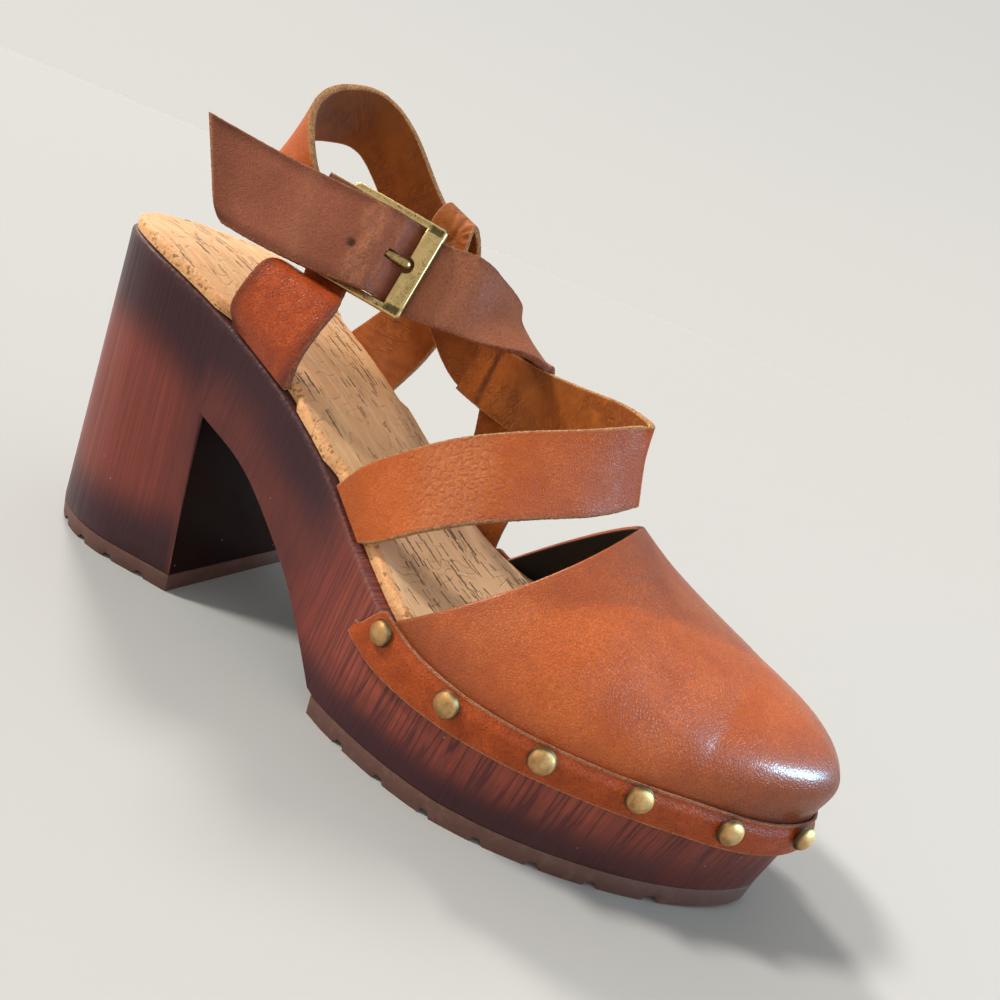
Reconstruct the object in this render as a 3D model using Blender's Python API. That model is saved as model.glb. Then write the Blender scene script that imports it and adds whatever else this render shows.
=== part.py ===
"""Platform clog sandal, right shoe: block heel sole, cork footbed, vamp, straps and buckle.

Tables are in millimetres on the last: x from the back of the heel seat to the toe,
y towards the inner side of the foot, z up from the floor.
"""
import math
from bisect import bisect_right

import bmesh
import bpy
from mathutils import Matrix, Vector

MM = 0.001
GAP = 0.3
# The origin lies under the middle of the whole shoe.
FRAME_SHIFT = (-118.1, 2.8, 0.0)
OUTER = "outer"
INNER = "inner"

# Plan of the sole's top edge
SOLE_REAR = 4.6
SOLE_TOE = 230.2
HEEL_ROUND = 33.0
HEEL_POWER = 2.1
TOE_ROUND = 72.0
TOE_POWER = {OUTER: 1.58, INNER: 2.16}
TOE_TIP_Y = -2.0
TOE_SWING_FROM = 120.0
# columns: x, outer half width, inner half width, both before the ends round off
OUTLINE = (
    (0, 31.0, 29.5),
    (33, 31.8, 30.0),
    (60, 28.8, 27.6),
    (95, 30.5, 22.9),
    (115, 35.8, 22.9),
    (130, 41.2, 25.2),
    (145, 45.4, 31.5),
    (160, 47.4, 39.0),
    (185, 47.5, 43.4),
    (232, 47.0, 43.5),
)

# Side profile of the sole
# columns: x, height of the top edge
TOP_LINE = (
    (0, 86.4),
    (30, 83.6),
    (60, 73.3),
    (80, 64.6),
    (100, 53.2),
    (120, 40.2),
    (140, 31.4),
    (165, 28.8),
    (200, 27.3),
    (232, 27.0),
)
# columns: x, height of the underside of the shank
ARCH_LINE = (
    (58, 50.2),
    (75, 43.2),
    (90, 31.9),
    (105, 18.6),
    (118, 5.3),
)
RIM_BEVEL = 0.8
RUBBER_THICK = 5.0
HEEL_FRONT_X = 55.0
HEEL_RAKE = -1.7
HEEL_STRETCH = 1.169
HEEL_TAPER = 0.95
BREAST_TOP_X = 61.0
TOE_INSET = 3.8
TOE_INSET_FROM = 163.0
TOE_NARROW = 0.078
SIDE_TAPER = 0.07
SIDE_TAPER_FROM = 125.0
SIDE_TAPER_RUN = 40.0
TOE_SPRING = 1.4
TOE_SPRING_FROM = 196.0

# Rubber tread
FOREFOOT_TREAD_FROM = 119.5
GROOVE_DEPTH = 1.4
GROOVE_HALF = 1.6
FOREFOOT_GROOVES = (132.0, 13.0, 7)
HEEL_GROOVES = (9.5, 9.4, 5)
TREAD_SIDE_DRAW = 0.6

# Cork footbed
CORK_THICK = 3.0
CORK_ROUND = 1.2
CORK_INSET = 1.0
SLOT_INSET = 3.1
SLOT_RAMP = 3.0
# stretches of the edge where a strap, tab or the vamp stands between cork and rim
SLOTS = {
    OUTER: ((56, 82), (100, 260)),
    INNER: ((54, 84), (108, 260)),
}

# Vamp
VAMP_THICK = 1.8
VAMP_FROM = {OUTER: 133.0, INNER: 130.0}
VAMP_SPINE_Y = 5.9
POLE_X = 205.0
THROAT_LEAN = {OUTER: 1.25, INNER: 0.88}
SIDE_ROUND = 2.0
TOE_BOX_ROUND = 1.81
TOE_BULGE = 0.41
POLE_SLOPE = -0.22
VAMP_ROWS = 9
VAMP_SIDE_COLUMNS = 13
VAMP_TOE_COLUMNS = 9
# columns: x, height of the ridge
RIDGE_LINE = (
    (166.5, 67.8),
    (178, 61.3),
    (190, 55.9),
    (205, 50.9),
)

# Rand and its nails
RAND_THICK = 1.8
RAND_TIP = 3.0
# columns: x, height of the rand's upper edge above the sole's top edge
RAND_HIGH_LINE = (
    (120, 2.9),
    (205, 2.9),
    (212, 2.3),
    (220, 1.3),
    (232, 0.9),
)
# columns: x, drop of the rand's lower edge below the sole's top edge
RAND_LOW_LINE = (
    (120, -11.0),
    (132, -9.8),
    (145, -7.4),
    (165, -5.8),
    (190, -5.2),
    (205, -5.5),
    (212, -6.2),
    (220, -7.0),
    (232, -7.4),
)
RAND_FROM = {OUTER: 125.2, INNER: 121.0}
RAND_TIP_RUN = 8.0
NAIL_RADIUS = 3.1
NAIL_HEIGHT = 2.1
NAIL_PITCH = 21.2
NAIL_FIRST = 9.95
NAIL_COUNT = 12
# columns: x, height of a nail's middle from the sole's top edge
NAIL_LINE = (
    (120, -0.6),
    (175, -0.2),
    (195, 0.3),
    (214, -1.2),
    (232, -1.2),
)

# Buckle: a flat frame whose own axes are along the strap, across it and outwards
BUCKLE_CENTRE = (78.7, -8.5, 104.0)
BUCKLE_ALONG = (0.945, 0.29, -0.12)
BUCKLE_ACROSS = (0.0, 0.33, 0.94)
BUCKLE_LENGTH = 26.5
BUCKLE_WIDTH = 25.8
BUCKLE_THICK = 2.0
FRONT_BAR = 5.0
HINGE_BAR = 1.6
SIDE_BAR = 2.0
PRONG_RADIUS = 0.9
PRONG_RING = 2.35
HINGE_AT = -(BUCKLE_LENGTH - HINGE_BAR) / 2

# Straps
STRAP_THICK = 2.0
STRAP_WIDTH = 21.4
STRAP_STEP = 5.0
SLOT_DEPTH = 1.5
SLOT_LIFT = 1.2
# columns: centre x, y, z, then the direction from the lower edge to the upper edge, then width
INSTEP_STRAP = (
    (115.0, -32.6, 53.2, -0.64, 0.20, 0.73, 18.5),
    (121.9, -29.5, 59.3, -0.62, 0.33, 0.71, 20.0),
    (130.8, -22.5, 65.8, -0.50, 0.35, 0.79, 21.0),
    (140.9, -14.0, 71.2, -0.30, 0.36, 0.88, 21.0),
    (151.3, -4.0, 76.0, -0.26, 0.28, 0.92, 21.0),
    (157.4, 5.4, 79.6, -0.25, 0.12, 0.96, 20.5),
    (158.6, 10.2, 80.6, -0.27, 0.06, 0.96, 20.5),
    (154.0, 14.2, 81.4, -0.28, 0.02, 0.96, 20.5),
    (146.3, 17.5, 81.5, -0.25, 0.0, 0.97, 21.0),
    (134.0, 20.5, 80.8, -0.18, 0.0, 0.98, 20.5),
    (120.8, 22.3, 80.9, -0.05, 0.0, 1.0, 19.5),
    (108.3, 23.0, 82.4, 0.12, 0.0, 0.99, 18.5),
    (100.5, 22.9, 84.2, 0.22, 0.0, 0.97, 18.0),
)
HEEL_STRAP = (
    (106.0, 25.4, 82.6, 0.10, 0.0, 0.99, 18.0),
    (98.0, 25.6, 85.6, 0.35, 0.0, 0.94, 18.0),
    (90.0, 25.6, 92.5, 0.60, 0.0, 0.80, 18.0),
    (82.0, 25.4, 101.0, 0.70, -0.03, 0.71, 18.0),
    (73.5, 24.8, 109.8, 0.72, -0.05, 0.69, 18.0),
    (64.3, 23.1, 118.5, 0.77, -0.07, 0.63, 18.0),
    (54.9, 17.8, 129.6, 0.68, -0.09, 0.73, 18.0),
    (48.6, 13.9, 133.6, 0.44, -0.21, 0.87, 18.0),
    (44.0, 7.9, 132.8, 0.39, -0.43, 0.82, 18.0),
    (41.9, -0.4, 129.0, 0.52, -0.45, 0.73, 18.5),
    (43.7, -7.6, 121.0, 0.55, -0.25, 0.79, 19.5),
)
BUCKLE_STRAP = (
    (100.5, 2.0, 101.8, 0.06, 0.33, 0.94, 21.0),
    (106.0, 7.5, 101.0, -0.12, 0.42, 0.90, 21.0),
    (113.2, 14.8, 100.2, -0.71, 0.33, 0.63, 21.0),
    (113.0, 19.5, 96.9, -0.88, 0.26, 0.39, 21.0),
    (111.7, 24.2, 95.2, -0.96, 0.17, 0.22, 19.5),
    (112.3, 28.9, 90.4, -0.99, 0.0, 0.10, 19.3),
    (113.6, 29.4, 80.0, -0.99, 0.0, 0.10, 20.5),
    (116.4, 28.4, 67.0, -0.98, 0.0, 0.20, 20.0),
    (118.0, 25.8, 56.0, -0.94, 0.02, 0.34, 19.5),
    (118.8, 23.0, 48.6, -0.90, 0.02, 0.44, 19.0),
)
# columns: place along the buckle, outwards from its plane, across it
TAIL_RUN = (
    (-44.0, 6.2, -3.0),
    (-34.0, 5.6, -2.7),
    (-24.0, 5.5, -2.3),
    (-14.0, 5.6, -1.5),
    (-6.0, 5.2, -0.6),
    (-0.5, 4.5, 0.0),
    (3.0, 2.6, 0.0),
    (6.0, -1.0, 0.0),
    (8.8, -2.7, 0.0),
    (15.0, -2.9, 0.0),
)
TAIL_SLANT = 7.0
SLANT_RUN = 16.0
# columns: place along the buckle, place outwards; the strap end turns round the hinge bar
HINGE_RUN = (
    (-27.0, -2.8),
    (-20.0, -2.6),
    (-14.0, -2.55),
)
HINGE_TURN = 2.55
HINGE_BACK = (-19.0, 2.55)
OUTER_TAB = (
    (70.1, -29.6, 77.0, -0.94, -0.13, 0.31, 22.3),
    (71.2, -28.1, 84.0, -0.94, -0.20, 0.27, 22.0),
    (71.7, -24.3, 89.8, -0.94, -0.24, 0.24, 21.2),
    (70.2, -18.2, 90.8, -0.97, -0.18, 0.16, 17.0),
    (68.6, -12.2, 88.2, -0.98, -0.12, 0.10, 12.5),
)
# columns: place along the buckle, outwards from its plane, across it
OUTER_TAB_END = (
    (-9.5, -6.4, -9.0),
    (-9.5, -6.4, 0.0),
    (-9.5, -6.4, 8.0),
)
TAB_END_WIDTH = 12.0
INNER_TAB = (
    (73.0, 28.8, 82.0, -0.86, 0.04, 0.50, 21.0),
    (78.0, 29.4, 95.0, -0.90, 0.0, 0.43, 19.0),
    (81.6, 29.3, 107.0, -0.94, 0.0, 0.34, 16.5),
    (82.2, 27.4, 117.0, -0.94, 0.0, 0.34, 13.6),
    (82.2, 23.2, 121.2, -0.94, 0.0, 0.34, 13.6),
    (82.2, 19.2, 117.0, -0.94, 0.0, 0.34, 13.6),
    (81.4, 17.8, 107.0, -0.95, 0.0, 0.31, 14.5),
    (80.6, 18.0, 99.0, -0.95, 0.0, 0.31, 15.0),
)
# columns: strap foot on the sole edge, x of its upper corner, x of its lower corner
FEET = {
    "instep": (OUTER, 103.5, 116.0),
    "buckle": (INNER, 111.0, 127.5),
    "outer_tab": (OUTER, 59.0, 79.5),
    "inner_tab": (INNER, 57.0, 79.0),
}

# Finishes: colour, roughness, metallic
FINISH = {
    "rubber": ((0.06, 0.035, 0.025), 0.75, 0.0),
    "wood": ((0.10, 0.03, 0.022), 0.4, 0.0),
    "cork": ((0.62, 0.40, 0.20), 0.8, 0.0),
    "tan_leather": ((0.36, 0.115, 0.035), 0.42, 0.0),
    "brown_leather": ((0.14, 0.05, 0.03), 0.4, 0.0),
    "brass": ((0.36, 0.25, 0.10), 0.35, 1.0),
}


def smooth(t):
    """Ease from 0 to 1."""
    t = min(max(t, 0.0), 1.0)
    return t * t * (3 - 2 * t)


def along(rows, x, column=1):
    """Smooth cubic through one column of a table whose first column rises."""
    xs = [row[0] for row in rows]
    ys = [row[column] for row in rows]
    last = len(xs) - 1
    x = min(max(x, xs[0]), xs[last])
    i = min(max(bisect_right(xs, x) - 1, 0), last - 1)

    def slope(k):
        lo, hi = max(k - 1, 0), min(k + 1, last)
        return (ys[hi] - ys[lo]) / (xs[hi] - xs[lo])

    span = xs[i + 1] - xs[i]
    t = (x - xs[i]) / span
    rise = t * t * (3 - 2 * t)
    bend = slope(i) * (t ** 3 - 2 * t * t + t) + slope(i + 1) * (t ** 3 - t * t)
    return ys[i] + (ys[i + 1] - ys[i]) * rise + span * bend


# Plan and profile of the sole

def station_x(a):
    """Place along the sole for a station number from 0 at the heel to 1 at the toe."""
    return SOLE_REAR + (SOLE_TOE - SOLE_REAR) * (1 - math.cos(math.pi * a)) / 2


def station_of(x):
    """Station number for a place along the sole."""
    part = (x - SOLE_REAR) / (SOLE_TOE - SOLE_REAR)
    return math.acos(min(max(1 - 2 * part, -1), 1)) / math.pi


def toe_swing(x):
    """Sideways place of the sole's middle, which swings in towards the toe tip."""
    return TOE_TIP_Y * smooth((x - TOE_SWING_FROM) / (SOLE_TOE - TOE_SWING_FROM))


def plan_y(x, side):
    """Sideways place of the sole's top edge."""
    sign, column = (-1, 1) if side == OUTER else (1, 2)
    width = sign * along(OUTLINE, x, column)
    middle = toe_swing(x)
    round_off = 1.0
    if x < SOLE_REAR + HEEL_ROUND:
        t = min(1 - (x - SOLE_REAR) / HEEL_ROUND, 1.0)
        round_off = max(1 - t ** HEEL_POWER, 0.0) ** (1 / HEEL_POWER)
    if x > SOLE_TOE - TOE_ROUND:
        power = TOE_POWER[side]
        t = min((x - SOLE_TOE + TOE_ROUND) / TOE_ROUND, 1.0)
        round_off = max(1 - t ** power, 0.0) ** (1 / power)
    return middle + (width - middle) * round_off


def edge(a, side, inset=0.0):
    """Point of the top edge's plan at a station, moved inwards by an inset."""
    x = station_x(a)
    y = plan_y(x, side)
    if not inset:
        return x, y
    if a <= 0.0 or a >= 1.0:
        return (x + inset if a <= 0.0 else x - inset), y
    lo, hi = max(a - 0.002, 0.0), min(a + 0.002, 1.0)
    run_x = station_x(hi) - station_x(lo)
    run_y = plan_y(station_x(hi), side) - plan_y(station_x(lo), side)
    size = math.hypot(run_x, run_y)
    turn = 1 if side == OUTER else -1
    return x - turn * run_y / size * inset, y + turn * run_x / size * inset


def top_z(x):
    """Height of the sole's top edge."""
    return along(TOP_LINE, x)


def toe_rise(x):
    """Toe spring of the tread."""
    t = max(x - TOE_SPRING_FROM, 0.0) / (SOLE_TOE - TOE_SPRING_FROM)
    return TOE_SPRING * t * t


def heel_foot(x, y):
    """Plan of the heel block at the floor, from a point of the top edge."""
    return HEEL_RAKE + x * HEEL_STRETCH, y * HEEL_TAPER


def platform_foot(x, y):
    """Plan of the platform at the tread, from a point of the top edge."""
    back = min(max((x - TOE_INSET_FROM) / (SOLE_TOE - TOE_INSET_FROM), 0.0), 1.0) ** 1.5
    narrow = min(max((x - SIDE_TAPER_FROM) / SIDE_TAPER_RUN, 0.0), 1.0) * SIDE_TAPER
    middle = toe_swing(x)
    return x - TOE_INSET * back, middle + (y - middle) * (1 - narrow - TOE_NARROW * back)


# Building blocks

def finish_material(name):
    """Material of one finish."""
    material = bpy.data.materials.get(name)
    if material:
        return material
    colour, roughness, metallic = FINISH[name]
    material = bpy.data.materials.new(name)
    material.use_nodes = True
    shader = material.node_tree.nodes["Principled BSDF"]
    shader.inputs["Base Color"].default_value = (*colour, 1.0)
    shader.inputs["Roughness"].default_value = roughness
    shader.inputs["Metallic"].default_value = metallic
    return material


def clear_scene():
    """Remove what is there and make the shoe's collections and its origin."""
    for item in list(bpy.data.objects):
        bpy.data.objects.remove(item, do_unlink=True)
    for name in ("platform_clog_sandal", "cutters"):
        group = bpy.data.collections.new(name)
        bpy.context.scene.collection.children.link(group)
    origin = bpy.data.objects.new("last_origin", None)
    origin.location = Vector(FRAME_SHIFT) * MM
    bpy.data.collections["platform_clog_sandal"].objects.link(origin)
    return origin


def add_piece(name, bm, finish, origin, group="platform_clog_sandal"):
    """Turn a bmesh in millimetres on the last into a named object."""
    bmesh.ops.scale(bm, vec=(MM, MM, MM), verts=bm.verts)
    mesh = bpy.data.meshes.new(name)
    bm.to_mesh(mesh)
    bm.free()
    mesh.shade_smooth()
    mesh.set_sharp_from_angle(angle=math.radians(35))
    piece = bpy.data.objects.new(name, mesh)
    piece.parent = origin
    if group == "cutters":
        piece.hide_render = True
        piece.display_type = "WIRE"
    else:
        mesh.materials.append(finish_material(finish))
    bpy.data.collections[group].objects.link(piece)
    return piece


def loft(rings):
    """Closed bmesh through rings of points, capped at both ends where a ring is open wide."""
    bm = bmesh.new()
    known = {}

    def vertex(point):
        key = tuple(round(value, 4) for value in point)
        if key not in known:
            known[key] = bm.verts.new(point)
        return known[key]

    def face(points):
        loop = []
        for vert in points:
            if not loop or loop[-1] is not vert:
                loop.append(vert)
        if len(loop) > 1 and loop[0] is loop[-1]:
            loop.pop()
        if len(loop) > 2 and len(set(loop)) == len(loop):
            bm.faces.new(loop)

    grid = [[vertex(point) for point in ring] for ring in rings]
    count = len(grid[0])
    for near, far in zip(grid, grid[1:]):
        for i in range(count):
            j = (i + 1) % count
            face((near[i], near[j], far[j], far[i]))
    for ring in (grid[0], grid[-1]):
        if len(set(ring)) == count:
            face(ring)
    bmesh.ops.recalc_face_normals(bm, faces=bm.faces)
    return bm


def cut(piece, cutter):
    """Cut one piece with another."""
    change = piece.modifiers.new("cut_" + cutter.name, "BOOLEAN")
    change.operation = "DIFFERENCE"
    change.solver = "EXACT"
    change.object = cutter


# Sole pieces

def sole_stations():
    """Station numbers of the sole's sections, with the breast of the heel left between two of them."""
    count = 46
    places = [station_x(i / count) for i in range(count + 1)]
    heel = [x for x in places if x < HEEL_FRONT_X - 2] + [HEEL_FRONT_X]
    front = [BREAST_TOP_X] + [x for x in places if x > BREAST_TOP_X + 3]
    return heel, front


def sole_side(x, side, in_heel):
    """One side of a sole section: rim, wall top, a row at the arch and the foot of the wall."""
    a = station_of(x)
    high = top_z(x)
    rim = (*edge(a, side, RIM_BEVEL), high)
    shoulder = (*edge(a, side), high - RIM_BEVEL)
    low_z = RUBBER_THICK + GAP
    if in_heel:
        foot = (*heel_foot(x, shoulder[1]), low_z)
        part = (shoulder[2] - ARCH_LINE[0][1]) / (shoulder[2] - low_z)
    elif x <= BREAST_TOP_X:
        front = sole_side(HEEL_FRONT_X, side, True)
        foot, part = front[2], 0.5
    elif x < ARCH_LINE[-1][0]:
        foot, part = (shoulder[0], shoulder[1], along(ARCH_LINE, x)), 0.5
    else:
        foot = (*platform_foot(*shoulder[:2]), low_z + toe_rise(x))
        part = 0.5
    middle = tuple(s + (f - s) * part for s, f in zip(shoulder, foot))
    return [rim, shoulder, middle, foot]


def build_sole(origin):
    """Heel, shank and platform in one piece."""
    heel, front = sole_stations()
    rings = []
    for x, in_heel in [(x, True) for x in heel] + [(x, False) for x in front]:
        inner = sole_side(x, INNER, in_heel)
        rings.append(sole_side(x, OUTER, in_heel) + inner[::-1])
    return add_piece("sole_platform", loft(rings), "wood", origin)


def groove_places(grooves):
    """Places of the corners of evenly spaced grooves, with their depth."""
    first, pitch, count = grooves
    rows = []
    for i in range(count):
        middle = first + i * pitch
        for shift, depth in ((-1, 0), (-0.5, 1), (0.5, 1), (1, 0)):
            rows.append((middle + shift * GROOVE_HALF, depth * GROOVE_DEPTH))
    return rows


def build_tread(name, places, foot, rise, origin):
    """Rubber tread with grooves across, from places along the top edge with a groove depth each."""
    rings = []
    for x, depth in places:
        a = station_of(x)
        ring = []
        for side, order in ((OUTER, 1), (INNER, -1)):
            top = (*foot(*edge(a, side)), RUBBER_THICK + rise(x))
            low = (*foot(*edge(a, side, TREAD_SIDE_DRAW)), depth + rise(x))
            ring += [top, low][::order]
        rings.append(ring)
    return add_piece(name, loft(rings), "rubber", origin)


def build_treads(origin):
    """Both rubber pieces under the sole."""
    start = station_of(FOREFOOT_TREAD_FROM)
    plain = [station_x(start + (1 - start) * i / 22) for i in range(23)]
    cut_rows = groove_places(FOREFOOT_GROOVES)
    clear = [x for x in plain if all(abs(x - g) > 2.2 for g, _ in cut_rows)]
    rows = sorted([(x, 0.0) for x in clear] + cut_rows)
    build_tread("outsole_forefoot", rows, platform_foot, toe_rise, origin)
    turn = station_of(SOLE_REAR + HEEL_ROUND)
    plain = [station_x(turn * i / 8) for i in range(9)] + [HEEL_FRONT_X]
    cut_rows = groove_places(HEEL_GROOVES)
    clear = [x for x in plain if all(abs(x - g) > 0.9 for g, _ in cut_rows)]
    rows = sorted([(x, 0.0) for x in clear] + cut_rows)
    build_tread("outsole_heel", rows, heel_foot, lambda x: 0.0, origin)


def cork_inset(x, side):
    """Inset of the cork's edge from the rim, deeper where something stands beside it."""
    deep = 0.0
    for start, stop in SLOTS[side]:
        inside = min(x - start, stop - x)
        deep = max(deep, smooth(inside / SLOT_RAMP + 1))
    return CORK_INSET + (SLOT_INSET - CORK_INSET) * deep


def build_footbed(origin):
    """Cork footbed with a rounded edge, lying on the sole."""
    count = 58
    rings = []
    for i in range(count + 1):
        a = min(max(i / count, 0.012), 0.985)
        x = station_x(a)
        base = top_z(x) + GAP
        ring = []
        for side, order in ((OUTER, 1), (INNER, -1)):
            inset = cork_inset(x, side)
            wall = edge(a, side, inset)
            crown = edge(a, side, inset + CORK_ROUND)
            part = [(*wall, base), (*wall, base + CORK_THICK - CORK_ROUND), (*crown, base + CORK_THICK)]
            ring += part[::order]
        rings.append(ring)
    return add_piece("footbed", loft(rings), "cork", origin)


# Upper over the toes

def vamp_profile(a, side, row, depth=0.0):
    """Point of the vamp over one place of its base line, from row 0 at the sole to 1 at the ridge."""
    foot_x = station_x(a)
    x, y = edge(a, side, depth)
    low = top_z(foot_x) + GAP
    spread = (foot_x - VAMP_FROM[side]) / (POLE_X - VAMP_FROM[side])
    spine_x = RIDGE_LINE[0][0] + (POLE_X - RIDGE_LINE[0][0]) * min(spread, 1.0)
    high = along(RIDGE_LINE, spine_x) - depth
    toe_share = smooth(spread - 0.6)
    power = 2 / (SIDE_ROUND + (TOE_BOX_ROUND - SIDE_ROUND) * toe_share)
    angle = row * math.pi / 2
    level = math.sin(angle) ** power
    reach = math.cos(angle) ** power if row < 1 else 0.0
    reach += TOE_BULGE * toe_share * (math.sin(2 * angle) * math.cos(angle)) ** 2
    ahead = reach if foot_x > spine_x else (1 - level) ** THROAT_LEAN[side]
    tilt = POLE_SLOPE * (x - spine_x) * reach * (1 - reach) ** 2 if foot_x > spine_x else 0.0
    return (
        spine_x + (x - spine_x) * ahead,
        VAMP_SPINE_Y + (y - VAMP_SPINE_Y) * reach,
        low + (high - low) * level + tilt,
    )


def vamp_base_line():
    """Places round the sole edge that the vamp rises from, outer side first."""
    places = []
    for side in (OUTER, INNER):
        start, pole = VAMP_FROM[side], station_of(POLE_X)
        step = (POLE_X - start) / VAMP_SIDE_COLUMNS
        sides = [station_of(start + step * i) for i in range(VAMP_SIDE_COLUMNS)]
        toe = [pole + (1 - pole) * i / VAMP_TOE_COLUMNS for i in range(VAMP_TOE_COLUMNS + 1)]
        run = [(side, a) for a in sides + toe]
        places += run if side == OUTER else run[-2::-1]
    return places


def build_vamp(origin):
    """Closed-toe vamp: one leather wall, open at the throat and underneath."""
    bm = bmesh.new()
    faces = []
    for depth in (0.0, VAMP_THICK):
        columns = []
        for side, a in vamp_base_line():
            rows = range(VAMP_ROWS + 1)
            points = [vamp_profile(a, side, row / VAMP_ROWS, depth) for row in rows]
            columns.append([bm.verts.new(point) for point in points])
        for near, far in zip(columns, columns[1:]):
            for i in range(VAMP_ROWS):
                bm.faces.new((near[i], far[i], far[i + 1], near[i + 1]))
        faces.append(columns)
    rims = [[column[0] for column in columns] for columns in faces]
    throats = [columns[0] + columns[-1][-2::-1] for columns in faces]
    for first, second in (rims, throats):
        for i in range(len(first) - 1):
            bm.faces.new((first[i], first[i + 1], second[i + 1], second[i]))
    bmesh.ops.remove_doubles(bm, verts=bm.verts, dist=0.01)
    bmesh.ops.recalc_face_normals(bm, faces=bm.faces)
    return add_piece("vamp", bm, "tan_leather", origin)


def rand_line(step=4.0):
    """Places round the sole edge that the rand covers, outer side first, with their run length."""
    places = []
    for side, order in ((OUTER, 1), (INNER, -1)):
        start = station_of(RAND_FROM[side])
        run = [(side, start + (1 - start) * i / 300) for i in range(301)]
        places += run if order == 1 else run[-2::-1]
    kept = [(*places[0], 0.0)]
    total, previous = 0.0, edge(places[0][1], places[0][0])
    for side, a in places[1:]:
        point = edge(a, side)
        total += math.dist(point, previous)
        previous = point
        if total - kept[-1][2] >= step:
            kept.append((side, a, total))
    return kept


def rand_heights(x, side):
    """Lower and upper edge of the rand, whose upper edge comes down to a tip at its ends."""
    tip = smooth((x - RAND_FROM[side]) / RAND_TIP_RUN)
    low = along(RAND_LOW_LINE, x)
    high = low + RAND_TIP + (along(RAND_HIGH_LINE, x) - low - RAND_TIP) * tip
    return top_z(x) + low, top_z(x) + high


def on_wall(a, side, inset, z):
    """Point at a height on the platform's wall, which leans in towards the tread."""
    x, y = edge(a, side, inset)
    high = top_z(station_x(a)) - RIM_BEVEL
    low = RUBBER_THICK + GAP + toe_rise(station_x(a))
    share = min(max((high - z) / (high - low), 0.0), 1.0)
    foot = platform_foot(x, y)
    return x + (foot[0] - x) * share, y + (foot[1] - y) * share, z


def build_rand(origin):
    """Leather strip round the platform's edge, over the foot of the vamp."""
    rings = []
    depths = (GAP, GAP + RAND_THICK)
    for side, a, _ in rand_line():
        x = station_x(a)
        low, high = rand_heights(x, side)
        shoulder = min(top_z(x) - RIM_BEVEL, high - 0.5)
        near, far = ([on_wall(a, side, -inset, z) for z in (low, shoulder, high)] for inset in depths)
        rings.append(near[::-1] + far)
    return add_piece("rand", loft(rings), "tan_leather", origin)


def nail_mesh():
    """Domed nail head standing along +Z, turned from its profile."""
    bm = bmesh.new()
    steps = 3
    angles = [math.pi / 2 * i / steps for i in range(steps + 1)]
    profile = [(0.0, 0.0)] + [(NAIL_RADIUS * math.cos(t), NAIL_HEIGHT * math.sin(t)) for t in angles]
    verts = [bm.verts.new((x, 0.0, z)) for x, z in profile]
    edges = [bm.edges.new(pair) for pair in zip(verts, verts[1:])]
    turn = {"cent": (0, 0, 0), "axis": (0, 0, 1), "angle": 2 * math.pi}
    bmesh.ops.spin(bm, geom=verts + edges, steps=12, use_merge=True, **turn)
    bmesh.ops.remove_doubles(bm, verts=bm.verts, dist=0.001)
    bmesh.ops.recalc_face_normals(bm, faces=bm.faces)
    return bm


def build_nails(origin):
    """Row of brass nails through the rand, evenly spaced round the toe."""
    line = rand_line(0.5)
    for number in range(NAIL_COUNT):
        want = NAIL_FIRST + number * NAIL_PITCH
        side, a, _ = min(line, key=lambda row: abs(row[2] - want))
        on_face = edge(a, side, -2 * GAP - RAND_THICK)
        inside = edge(a, side, 10.0)
        outward = Vector((on_face[0] - inside[0], on_face[1] - inside[1], 0)).normalized()
        bm = nail_mesh()
        x = station_x(a)
        place = Matrix.Translation((*on_face, top_z(x) + along(NAIL_LINE, x)))
        bm.transform(place @ outward.to_track_quat("Z", "Y").to_matrix().to_4x4())
        add_piece("nail_%02d" % (number + 1), bm, "brass", origin)


# Straps and buckle

def buckle_axes():
    """The buckle's directions along the strap, across it and outwards."""
    run = Vector(BUCKLE_ALONG).normalized()
    out = run.cross(Vector(BUCKLE_ACROSS)).normalized()
    return run, out.cross(run).normalized(), out


def buckle_point(place, outwards, across=0.0):
    """Point given in the buckle's own axes."""
    run, over, out = buckle_axes()
    return Vector(BUCKLE_CENTRE) + run * place + over * across + out * outwards


def buckle_row(place, outwards, across=0.0):
    """Strap section that follows the buckle."""
    return (*buckle_point(place, outwards, across), *buckle_axes()[1], STRAP_WIDTH)


def foot_row(name):
    """Strap section where it stands on the sole between cork and rim."""
    side, high_x, low_x = FEET[name]
    ends = []
    for x in (high_x, low_x):
        ends.append(Vector((*edge(station_of(x), side, SLOT_DEPTH), top_z(x) + SLOT_LIFT)))
    across = ends[0] - ends[1]
    return (*((ends[0] + ends[1]) / 2), *across.normalized(), across.length)


def strap_sections(rows, step=STRAP_STEP):
    """Sections along a strap: smooth curve through the rows, with extra sections between them."""
    points = [Vector(row[:3]) for row in rows]
    lean = [Vector(row[3:6]).normalized() for row in rows]
    width = [row[6] for row in rows]

    def blend(values, i, t):
        p0, p1 = values[max(i - 1, 0)], values[i]
        p2, p3 = values[i + 1], values[min(i + 2, len(values) - 1)]
        return 0.5 * (2 * p1 + (p2 - p0) * t + (2 * p0 - 5 * p1 + 4 * p2 - p3) * t ** 2
                      + (3 * p1 - p0 - 3 * p2 + p3) * t ** 3)

    sections = []
    for i in range(len(rows) - 1):
        count = max(1, round((points[i + 1] - points[i]).length / step))
        for k in range(count):
            t = k / count
            sections.append((blend(points, i, t), blend(lean, i, t), blend(width, i, t)))
    sections.append((points[-1], lean[-1], width[-1]))
    return sections


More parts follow.
